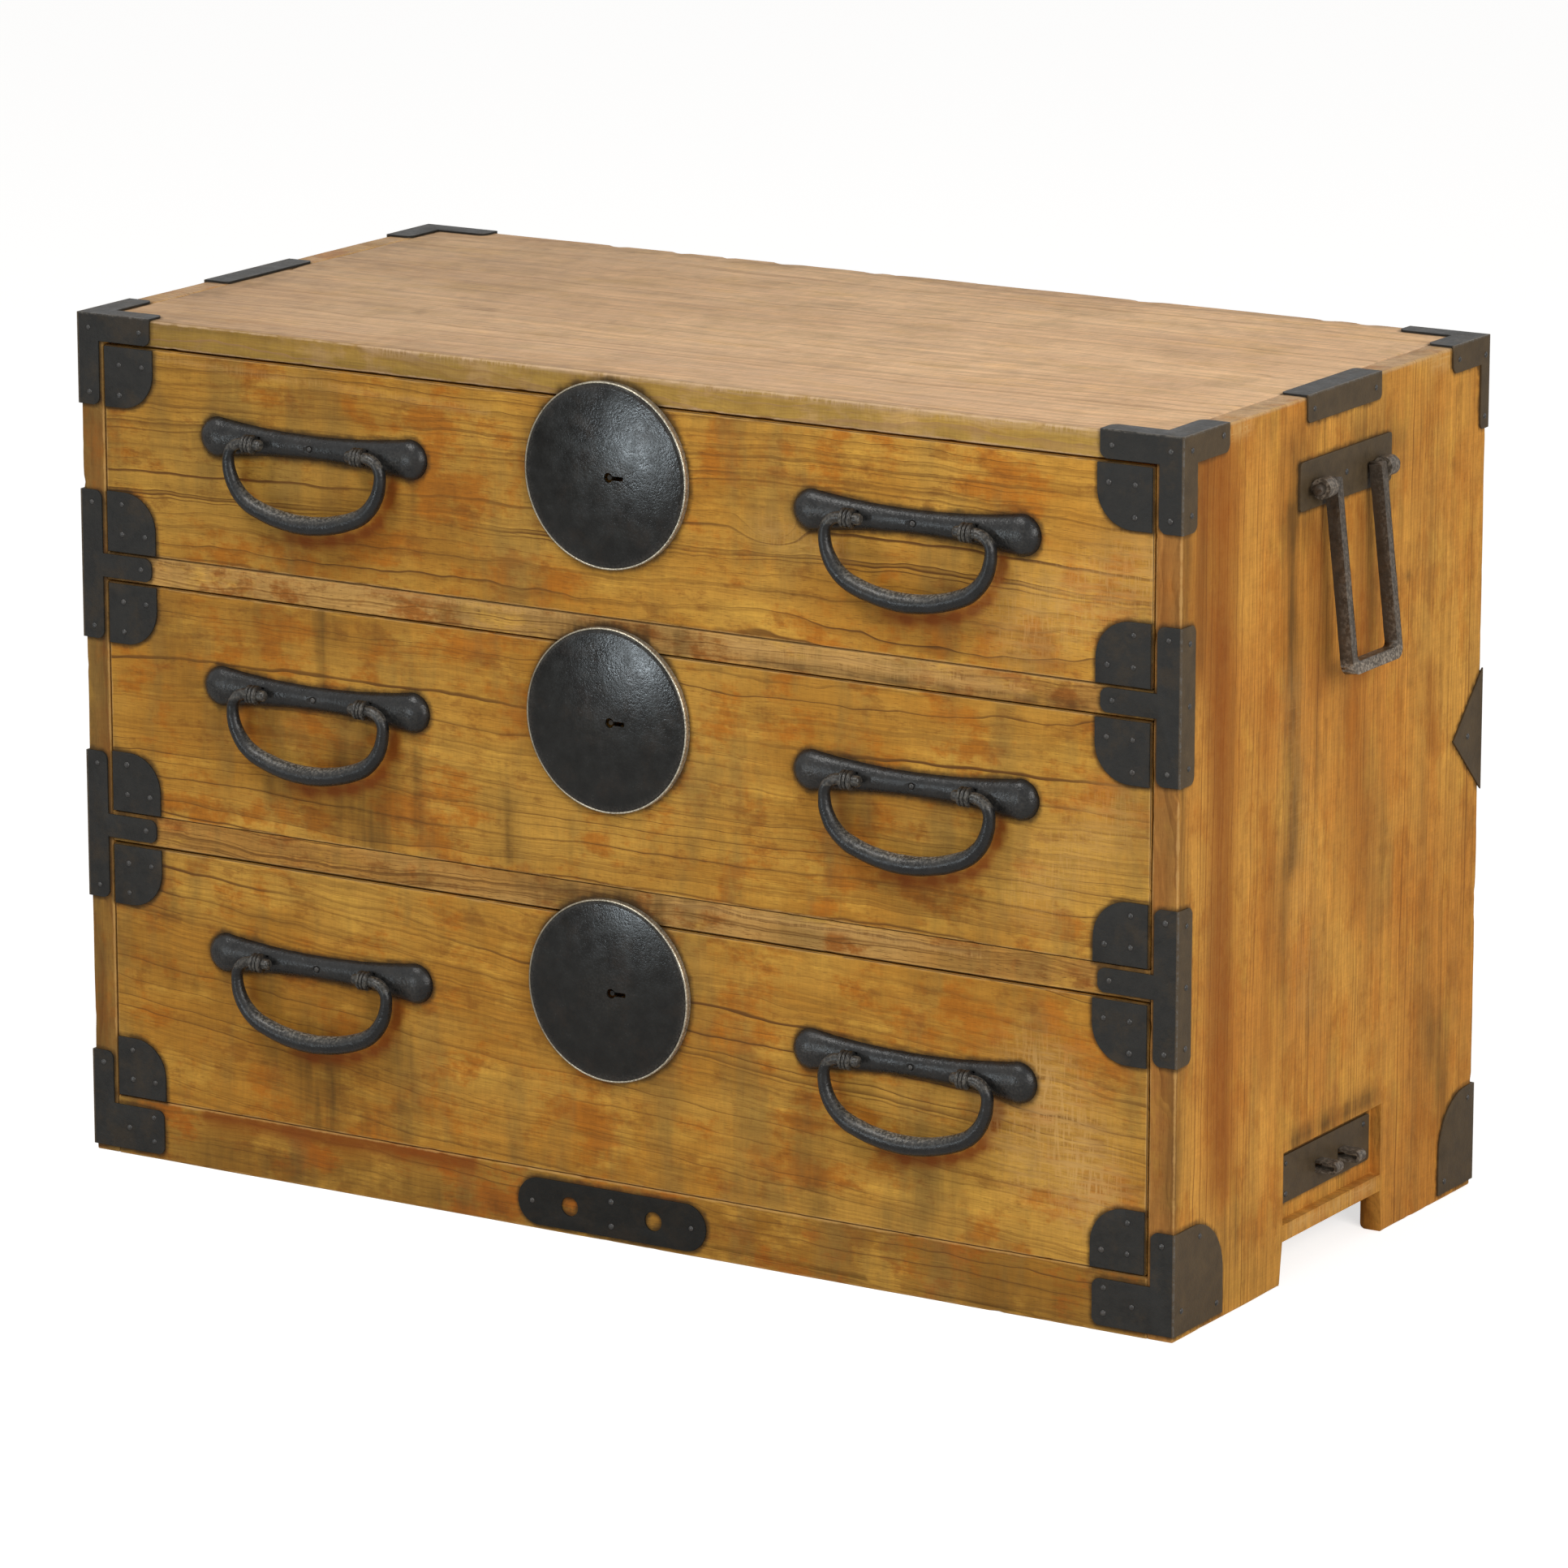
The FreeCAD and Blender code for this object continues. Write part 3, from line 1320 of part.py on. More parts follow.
def case_spots():
    """Every nail of the right half of the case, and of its middle."""
    post = half - s.strap_wide / 2
    arm_end = half - s.arm_long + s.nail_end
    beside = s.strap_side / 2 + s.nail_shank
    edge = s.height - s.arm_high / 2
    drop = s.height - s.corner_drop + s.nail_end
    spots = [
        placed("front", post, edge),
        placed("front", arm_end, edge),
        placed("front", post, drop),
        placed("right", beside, edge),
        placed("right", s.arm_long - s.nail_end, edge + s.nail_stray),
        placed("right", beside, drop + s.nail_stray),
    ]
    for middle in (top_tee, low_tee):
        reach = s.tee_tall / 2 - s.nail_end
        spots += [
            placed("front", post, middle + reach),
            placed("front", post, middle - reach),
            placed("front", half - s.tee_reach + s.nail_end, middle),
            placed("right", beside, middle + reach - s.nail_stray),
            placed("right", beside, middle),
            placed("right", beside, middle - reach + s.nail_stray),
        ]
    spots += [
        placed("front", post, foot_top - s.nail_end),
        placed("front", arm_end, foot_low + s.foot_arm - s.nail_end + s.nail_stray),
        placed("front", half - s.arm_long / 2, foot_low + s.foot_arm / 2),
        placed("front", arm_end, foot_low + s.nail_end),
        placed("right", s.foot_side / 2, foot_top - s.nail_end),
        placed("right", s.foot_side - s.nail_end, foot_low + s.nail_end),
        placed("right", s.nail_end, foot_low + s.foot_arm / 2),
    ]
    rear = s.depth - s.rear_strap / 2
    spots += [
        placed("right", s.depth - s.rear_arm + s.nail_end, edge),
        placed("right", rear, drop),
        placed("right", rear, edge - s.nail_stray),
        placed("back", half - s.rear_strap / 2, drop - s.nail_stray),
        placed("back", arm_end, edge),
        placed("right", s.depth - s.spear_reach / 2, s.spear_point),
        placed("back", half - s.spear_reach / 3, s.spear_point),
        placed("right", s.depth - s.nail_end, foot_top - s.nail_end),
        placed("right", s.depth - s.rear_foot_side + s.nail_end, foot_low + s.nail_end),
        placed("back", half - s.rear_wrap / 2, foot_top - s.nail_end - s.nail_stray),
        placed("back", half - s.rear_wrap / 2, foot_low + s.nail_end),
    ]
    plate = s.side_plate_long / 2 - s.nail_end
    high = s.rope_plate_height + s.side_plate_high / 2 - s.nail_end + s.nail_stray
    low = s.rope_plate_height - s.side_plate_high / 2 + s.nail_end - s.nail_stray
    floor = recess_floor + s.side_plate_iron
    spots += [
        ("right", half + s.side_plate_iron, s.grip_middle, s.carry_height + s.side_plate_up),
        ("right", floor, s.grip_middle - plate, high),
        ("right", floor, s.grip_middle - plate, low),
        ("right", floor, s.grip_middle + plate, high),
        ("right", floor, s.grip_middle + plate, low),
    ]
    spots = on_both_sides(spots)
    middle = s.base_low + s.base_high / 2
    out = s.base_long / 2 - s.nail_end - s.nail_stray
    spots += [
        ("front", -out, edge_y, middle),
        ("front", out, edge_y, middle),
        ("front", 0, edge_y, middle + s.nail_end),
        ("front", 0, edge_y, middle - s.nail_end),
    ]
    clip = s.clip_long / 2 - s.nail_end
    under = s.height - s.clip_drop / 2
    for end in (-clip, clip):
        spots.append(("right", edge_x, s.clip_right + end, under))
        spots.append(("left", -edge_x, s.clip_left + end, under))
    return spots


case_nails, case_bores = drive("case_nail", case_spots())


def eye_holes():
    """Where the side eyes pass through their plates into the right panel."""
    room = s.shank_room
    holes = []
    wide = s.carry_eye_wide / 2 + room
    tall = s.carry_eye_wall + room
    for number, side in enumerate((-1, 1), 1):
        y = s.grip_middle + s.carry_eye_out * side
        holes.append(
            box(
                f"carry_hole_{number}",
                (half - s.carry_shank_long - room, half + s.side_plate_iron + beyond),
                (y - wide, y + wide), (s.carry_height - tall, s.carry_height + tall),
            )
        )
    wide = s.rope_wide / 2 + room
    tall = s.rope_high / 2 + room
    face = recess_floor + s.side_plate_iron
    for number, side in enumerate((-1, 1), 1):
        y = s.grip_middle + s.rope_back + s.rope_apart / 2 * side
        holes.append(
            box(
                f"rope_hole_{number}", (face - s.rope_shank - room, face + beyond),
                (y - wide, y + wide), (s.rope_height - tall, s.rope_height + tall),
            )
        )
    return group("side_eye_holes", holes)


def side_eyes():
    """The right side's two carrying eyes and two rope eyes."""
    eyes = []
    face = recess_floor + s.side_plate_iron
    for number, side in enumerate((-1, 1), 1):
        y = s.grip_middle + s.carry_eye_out * side
        eyes.append(link(f"carry_eye_{number}", carry_eye, carry_x, y, s.carry_height))
        y = s.grip_middle + s.rope_back + s.rope_apart / 2 * side
        eyes.append(link(f"rope_eye_{number}", rope_eye, face, y, s.rope_height))
    return group("side_eye_set", eyes)


def nailed_pair(name, iron):
    """An iron and its twin on the other side, bored for their nails."""
    return cut(name + "_bored", both(name + "_pair", iron), case_bores)


holes = eye_holes()
finish("side_panel_right", cut("side_board_right", side_board, case_bores, holes))
left_board = mirrored("side_board_left", side_board)
left_holes = mirrored("side_eye_holes_left", holes)
finish("side_panel_left", cut("left_board_cut", left_board, case_bores, left_holes))
top_mortise = make_mortise("top_mortise", top_ceiling)
finish("top_panel", cut("top_slab_cut", top_board, case_bores, top_mortise))
finish("back_panel", cut("back_slab_cut", back_board, case_bores))
finish("shelf_boards", bottom_panel, low_dust, top_dust)
finish("base_rail", cut("base_slab_cut", base_rail, case_bores))
rails = group("rail_slabs", [low_rail, top_rail])
mortises = [make_mortise("mid_mortise", mid_ceiling), make_mortise("low_mortise", low_ceiling)]
finish("drawer_rails", cut("rails_cut", rails, case_bores, *mortises))

tees = [make_rail_iron("top_tee", top_tee), make_rail_iron("low_tee", low_tee)]
finish("rail_irons", nailed_pair("tees", group("tees_right", tees)))
finish("top_corner_irons", nailed_pair("top_corner", make_top_corner()))
finish("base_corner_irons", nailed_pair("base_corner", make_base_corner()))
rear = [make_rear_base(), make_spear(), make_rear_top()]
finish("rear_irons", nailed_pair("rear", group("rear_right", rear)))
clips = [make_clip("right_clip", s.clip_right), mirrored("clip_twin", make_clip("clip", s.clip_left))]
finish("top_edge_irons", cut("clips_bored", group("clips", clips), case_bores))
finish("base_centre_iron", cut("base_centre_bored", make_base_centre(), case_bores))
plates = cut("eye_plates_cut", group("eye_plates", [upper_plate, lower_plate]), case_bores, holes)
finish("side_eye_plates", both("eye_plate_pair", plates))
finish("side_eyes", both("side_eye_pair", side_eyes()))
finish("case_nails", case_nails)
hung = group("carry_bail_place", [lean_bail()])
finish("carry_bail_right", hung)
finish("carry_bail_left", mirrored("carry_bail_hung_left", hung))

# --------------------------------------------------------------- check and save

doc.recompute()


def check_and_save():
    """Stop if anything failed to build, then write one file for each node."""
    for thing in doc.Objects:
        if "Invalid" in thing.State or "Error" in thing.State:
            raise RuntimeError(f"{thing.Name} did not build: {thing.State}")
    for node, piece in finished.items():
        if piece.Shape.isNull() or not piece.Shape.isValid() or not piece.Shape.Solids:
            raise RuntimeError(f"{node} has no valid solid")
    for node, piece in finished.items():
        piece.Shape.exportStep(f"parts/{node}.step")
        print(f"{node}: {len(piece.Shape.Solids)} solids, {piece.Shape.Volume / 1000:.2f} cm3")
    print(f"{len(finished)} nodes")


check_and_save()
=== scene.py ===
# %% [markdown]
# # A ship chest with three drawers
#
# The real chest is a low wooden case with three lockable drawers, held together by sheet-iron
# corners and hand-set nails. Its shape, its joints and its size come from a imported CAD model,
# which is loaded as a frame and never moved. This script gives that frame its looks: worn
# boards with grain, blackened iron, forged bails and domed lock plates.
#
# Every piece is made in metres in the frame's own place, rides on one of its bodies, and hides
# the CAD nodes it stands for. That way a drawer or a bail that the frame moves takes its
# looks along.

# %% Load the frame
import json
import math

import bmesh
import bpy
import numpy as np
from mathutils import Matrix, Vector, bvhtree, noise


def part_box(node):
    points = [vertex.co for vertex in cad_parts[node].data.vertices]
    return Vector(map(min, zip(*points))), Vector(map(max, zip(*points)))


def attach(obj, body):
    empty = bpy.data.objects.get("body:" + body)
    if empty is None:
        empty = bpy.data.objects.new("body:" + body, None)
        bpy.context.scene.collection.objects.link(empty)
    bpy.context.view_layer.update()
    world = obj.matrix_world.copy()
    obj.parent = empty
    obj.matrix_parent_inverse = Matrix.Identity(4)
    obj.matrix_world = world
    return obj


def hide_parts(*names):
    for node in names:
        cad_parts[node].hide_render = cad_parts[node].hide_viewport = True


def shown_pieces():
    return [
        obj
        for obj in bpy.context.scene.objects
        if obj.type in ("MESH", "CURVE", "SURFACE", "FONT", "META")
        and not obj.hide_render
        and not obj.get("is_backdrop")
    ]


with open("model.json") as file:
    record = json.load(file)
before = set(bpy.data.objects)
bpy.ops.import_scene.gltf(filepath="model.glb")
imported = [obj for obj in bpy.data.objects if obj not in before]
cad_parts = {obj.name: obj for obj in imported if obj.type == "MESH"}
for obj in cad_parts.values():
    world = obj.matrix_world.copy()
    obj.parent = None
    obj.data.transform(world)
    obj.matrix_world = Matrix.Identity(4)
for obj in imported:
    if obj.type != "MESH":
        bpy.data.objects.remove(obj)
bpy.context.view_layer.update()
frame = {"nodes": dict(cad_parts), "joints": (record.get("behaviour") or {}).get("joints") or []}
nodes = frame["nodes"]

# %% [markdown]
# ## Where the faces are
#
# A few planes of the chest are used again and again: the wood's outer faces, and the iron's
# faces just outside them. They are measured from the frame's own nodes, so that they follow a
# change to the CAD model.

# %% The chest's planes
DRAWERS = ("top_drawer", "mid_drawer", "low_drawer")
side_low, side_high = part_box("side_panel_right")
wood_half = side_high.x
wood_front = side_low.y
wood_top = side_high.z
iron_low, iron_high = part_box("top_corner_irons")
iron_half = iron_high.x
iron_front = iron_low.y
iron_top = iron_high.z
iron_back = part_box("rear_irons")[1].y
print("case:", round(2 * wood_half, 4), "wide,", round(wood_top, 4), "high")

# %% [markdown]
# ## Camera
#
# The chest is seen from its right, a little from above. A long lens from far away keeps the
# case's upright edges nearly parallel.

# %% Camera
CAMERA_TARGET = Vector((0.005, 0.00965, 0.287))
CAMERA_TURN = math.radians(31.60)
CAMERA_RISE = math.radians(13.57)
CAMERA_FAR = 5.575
CAMERA_LENS = 177.82


def away(turn, rise):
    """The direction from the chest towards somebody standing at that turn and rise."""
    flat = math.cos(rise)
    return Vector((math.sin(turn) * flat, -math.cos(turn) * flat, math.sin(rise)))


camera = bpy.data.objects.new("camera", bpy.data.cameras.new("camera"))
camera.data.lens = CAMERA_LENS
camera.data.sensor_width = 36
camera.data.clip_end = 200
towards_camera = away(CAMERA_TURN, CAMERA_RISE)
camera.location = CAMERA_TARGET + towards_camera * CAMERA_FAR
camera.rotation_euler = (-towards_camera).to_track_quat("-Z", "Y").to_euler()
bpy.context.scene.collection.objects.link(camera)
bpy.context.scene.camera = camera
bpy.context.scene.view_settings.view_transform = "Standard"
print("camera at", [round(v, 3) for v in camera.location])

# %% [markdown]
# ## Light, floor and surroundings
#
# A plain studio: pale walls all round (the world), a soft box overhead, which throws the
# bails' soft shadows on the drawers, and a large one at the right, which lights the side and
# the front evenly. A small box low at the front left is met by reflections only: it draws the
# soft sheen on the lock plates. The lamps are kept at a level at which a colour looks as it is
# written.
#
# The pale floor is a wide disc. What the camera sees of it is lifted a little towards white,
# by a light that only camera rays meet, so the floor is nearly white and still keeps the
# chest's shadow.

# %% Surroundings
AMBIENT = 0.38


def wire(tree, source, target):
    tree.links.new(source, target)


world = bpy.data.worlds.new("studio")
world.use_nodes = True
bpy.context.scene.world = world
tree = world.node_tree
tree.nodes.clear()
rays = tree.nodes.new("ShaderNodeLightPath")
seen = tree.nodes.new("ShaderNodeMath")
seen.operation = "ADD"
wire(tree, rays.outputs["Is Camera Ray"], seen.inputs[0])
wire(tree, rays.outputs["Is Glossy Ray"], seen.inputs[1])
through = tree.nodes.new("ShaderNodeMath")
through.operation = "ADD"
through.use_clamp = True
wire(tree, seen.outputs[0], through.inputs[0])
wire(tree, rays.outputs["Is Transmission Ray"], through.inputs[1])
walls = tree.nodes.new("ShaderNodeBackground")
walls.inputs["Strength"].default_value = AMBIENT
white = tree.nodes.new("ShaderNodeBackground")
white.inputs["Color"].default_value = (1, 1, 1, 1)
white.inputs["Strength"].default_value = 1
walls.inputs["Color"].default_value = (1, 0.985, 0.965, 1)
either = tree.nodes.new("ShaderNodeMixShader")
wire(tree, through.outputs[0], either.inputs[0])
wire(tree, walls.outputs[0], either.inputs[1])
wire(tree, white.outputs[0], either.inputs[2])
out = tree.nodes.new("ShaderNodeOutputWorld")
wire(tree, either.outputs[0], out.inputs["Surface"])
print("world: ambient", AMBIENT)

# %% Lamps
def soft_box(name, place, target, wide, high, power, colour, sheen_only=False):
    """A rectangular lamp at a place, facing a target."""
    lamp = bpy.data.lights.new(name, "AREA")
    lamp.shape = "RECTANGLE"
    lamp.size = wide
    lamp.size_y = high
    lamp.energy = power
    lamp.color = colour
    made = bpy.data.objects.new(name, lamp)
    made.location = place
    facing = Vector(place) - Vector(target)
    made.rotation_euler = facing.to_track_quat("Z", "Y").to_euler()
    made.visible_diffuse = not sheen_only
    bpy.context.scene.collection.objects.link(made)
    print("lamp:", name, power, "W")


CHEST_MIDDLE = (0, 0, 0.3)
soft_box("overhead", (-0.6, -1.6, 2.7), CHEST_MIDDLE, 0.9, 0.7, 30, (1, 0.985, 0.96))
soft_box("sheen", (-1.31, -3.0, 0.25), CHEST_MIDDLE, 0.32, 0.27, 15, (0.82, 0.93, 1), True)
soft_box("right", (3.0, -1.6, 1.5), CHEST_MIDDLE, 1.6, 1.6, 62, (1, 0.98, 0.95))

# %% Floor
FLOOR_WIDE = 30
FLOOR_LIFT = 0.66


def lay_floor():
    """A pale disc that camera rays see a little lighter than it is."""
    shape = bmesh.new()
    bmesh.ops.create_circle(shape, cap_ends=True, segments=64, radius=FLOOR_WIDE)
    data = bpy.data.meshes.new("floor")
    shape.to_mesh(data)
    shape.free()
    floor = bpy.data.objects.new("floor", data)
    bpy.context.scene.collection.objects.link(floor)
    paint = bpy.data.materials.new("floor_paint")
    paint.use_nodes = True
    tree = paint.node_tree
    shader = tree.nodes["Principled BSDF"]
    shader.inputs["Base Color"].default_value = (0.80, 0.80, 0.80, 1)
    shader.inputs["Roughness"].default_value = 0.9
    shader.inputs["Specular IOR Level"].default_value = 0
    shader.inputs["Emission Color"].default_value = (1, 1, 1, 1)
    rays = tree.nodes.new("ShaderNodeLightPath")
    lift = tree.nodes.new("ShaderNodeMath")
    lift.operation = "MULTIPLY"
    lift.inputs[1].default_value = FLOOR_LIFT
    wire(tree, rays.outputs["Is Camera Ray"], lift.inputs[0])
    wire(tree, lift.outputs[0], shader.inputs["Emission Strength"])
    data.materials.append(paint)
    return floor


lay_floor()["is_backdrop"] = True
print("floor:", FLOOR_WIDE, "m")

# %% [markdown]
# ## A short way to write finishes
#
# A finish is a graph of small nodes. Written node by node it is long and hard to read, so two
# small classes help. A `Value` is a number that changes over the surface: adding or
# multiplying Values adds the Math nodes that do it. A `Finish` is one material, with calls
# for the things every finish needs: clouds of noise, mixing two colours, and a bump.
#
# All patterns read object coordinates in metres. Pieces sit at the origin, unturned, so a
# pattern keeps its real size on every piece and runs on from one piece to the next.

# %% Values that change over a surface
class Value:
    """A number that varies over the surface, as a node's output."""

    def __init__(self, finish, socket):
        self.finish = finish
        self.socket = socket

    def math(self, operation, *others):
        node = self.finish.node("ShaderNodeMath", operation=operation)
        for place, other in enumerate((self, *others)):
            self.finish.feed(node.inputs[place], other)
        return Value(self.finish, node.outputs[0])

    def __add__(self, other):
        return self.math("ADD", other)

    def __sub__(self, other):
        return self.math("SUBTRACT", other)

    def __mul__(self, other):
        return self.math("MULTIPLY", other)

    def __truediv__(self, other):
        return self.math("DIVIDE", other)

    def __pow__(self, other):
        return self.math("POWER", other)

    def size(self):
        return self.math("ABSOLUTE")

    def least(self, other):
        return self.math("MINIMUM", other)

    def most(self, other):
        return self.math("MAXIMUM", other)

    def between(self, low, high):
        """0 at low, 1 at high, and a smooth rise between them; low may be the higher one."""
        node = self.finish.node("ShaderNodeMapRange", interpolation_type="SMOOTHSTEP")
        for name, value in (("Value", self), ("From Min", low), ("From Max", high)):
            self.finish.feed(node.inputs[name], value)
        return Value(self.finish, node.outputs[0])

    def flip(self):
        return self.math("MULTIPLY_ADD", -1, 1)


# %% A finish
class Finish:
    """One material, with short calls for the nodes that it is made of."""

    def __init__(self, name, rough=0.5, metal=0.0, gloss=0.5):
        self.material = bpy.data.materials.new(name)
        self.material.use_nodes = True
        self.tree = self.material.node_tree
        self.shader = self.tree.nodes["Principled BSDF"]
        self.shader.inputs["Roughness"].default_value = rough
        self.shader.inputs["Metallic"].default_value = metal
        self.shader.inputs["Specular IOR Level"].default_value = gloss
        place = self.node("ShaderNodeTexCoord").outputs["Object"]
        split = self.node("ShaderNodeSeparateXYZ", {0: place})
        self.place = place
        self.x, self.y, self.z = (Value(self, split.outputs[k]) for k in range(3))

    def feed(self, socket, value):
        """Links a Value or a socket, or writes a plain number or colour."""
        if isinstance(value, Value):
            value = value.socket
        if isinstance(value, bpy.types.NodeSocket):
            wire(self.tree, value, socket)
        elif socket.type == "RGBA":
            socket.default_value = (*value, 1)
        else:
            socket.default_value = value

    def node(self, kind, inputs=(), **settings):
        made = self.tree.nodes.new(kind)
        for name, value in settings.items():
            setattr(made, name, value)
        for name, value in dict(inputs).items():
            self.feed(made.inputs[name], value)
        return made

    def cloud(self, scale, detail=2.0, rough=0.5, shift=0.0):
        """Noise from 0 to 1; scale is one number or one for each of x, y and z, per metre."""
        scale = (scale,) * 3 if isinstance(scale, (int, float)) else scale
        place = self.node(
            "ShaderNodeMapping",
            {"Vector": self.place, "Scale": scale, "Location": (shift, shift * 1.7, -shift)},
        )
        inputs = {"Vector": place.outputs[0], "Scale": 1, "Detail": detail, "Roughness": rough}
        made = self.node("ShaderNodeTexNoise", inputs)
        return Value(self, made.outputs["Fac"])

    def wander(self, value, scale):
        """Noise from 0 to 1 along one Value only."""
        made = self.node("ShaderNodeTexNoise", {"W": value * scale, "Detail": 1},
                         noise_dimensions="1D")
        return Value(self, made.outputs["Fac"])

    def chance(self, number):
        """A random number from 0 to 1 for each whole number."""
        made = self.node("ShaderNodeTexWhiteNoise", {"W": number}, noise_dimensions="1D")
        return Value(self, made.outputs["Value"])

    def marked(self, name):
        """The piece's own vertex attribute of that name."""
        made = self.node("ShaderNodeAttribute", attribute_name=name)
        return Value(self, made.outputs["Fac"])

    def mix(self, amount, below, above, how="MIX"):
        """Colour above over colour below, by an amount from 0 to 1."""
        made = self.node("ShaderNodeMix", data_type="RGBA", blend_type=how, clamp_factor=True)
        for place, value in ((0, amount), (6, below), (7, above)):
            self.feed(made.inputs[place], value)
        return made.outputs[2]

    def shade(self, colour, amount):
        """A colour made lighter or darker by a Value around 1."""
        made = self.node("ShaderNodeVectorMath", operation="SCALE")
        if isinstance(colour, tuple):
            made.inputs[0].default_value = colour
        else:
            wire(self.tree, colour, made.inputs[0])
        self.feed(made.inputs["Scale"], amount)
        return made.outputs[0]

    def finish(self, colour, rough, height, deep):
        """Connects the colour, roughness and height of the surface to its shader."""
        self.feed(self.shader.inputs["Base Color"], colour)
        self.feed(self.shader.inputs["Roughness"], rough)
        bump = self.node("ShaderNodeBump", {"Height": height, "Distance": deep})
        wire(self.tree, bump.outputs[0], self.shader.inputs["Normal"])
        return self.material


print("finishes are written with Value and Finish")

# %% [markdown]
# ## Wood
#
# A board is a slice through a tree, so its grain is worked out as a tree grows. Each point's
# distance from a heart line, wavy with noise, gives its growth ring. The slow early growth of
# a ring is pale, and it ends in a thin dark line of late wood. Some rings are strong and some
# hardly show, and a line comes and goes along its length. Where the heart line lies close
# behind the board the lines open into long arches. Where it is far away they run straight.
#
# Over the rings come fine fibres, broad patches of honey, orange and olive, and what a long
# life of hands, smoke and iron leaves: dark grime round each iron, partly painted contact shade,
# stains below the bails, a reddish rub beside them, partly their painted contact shadow, grime
# and painted shade above each lock plate, and pale worn edges. Those follow the piece itself, so
# they come from attributes that each board's mesh carries. Painted light also makes some boards
# darker at the left end and lighter at the right.

# %% The wood finish
def along_grain(axis, fine, ratio):
    """Noise scales that are drawn out along the grain."""
    scale = [fine, fine, fine]
    scale[axis] = fine / ratio
    return tuple(scale)


GRIME_AND_SHADE_TONE = (0.075, 0.040, 0.014)
RUB_AND_SHADOW_TONE = (0.215, 0.055, 0.008)
HALO_TONE = (0.040, 0.026, 0.014)
OLIVE_TONE = (0.215, 0.140, 0.042)
SPOT_TONE = (0.215, 0.070, 0.012)
FINE_TONE = (0.165, 0.066, 0.013)
GLOW_TONE = (0.640, 0.360, 0.060)
HALO_WIDE = 0.0044
RIM_WIDE = 0.0019
CRACK_WIDE = 0.0009
PAINTED_LIGHT_REACH = 0.52
WOOD_RELIEF = 0.00025


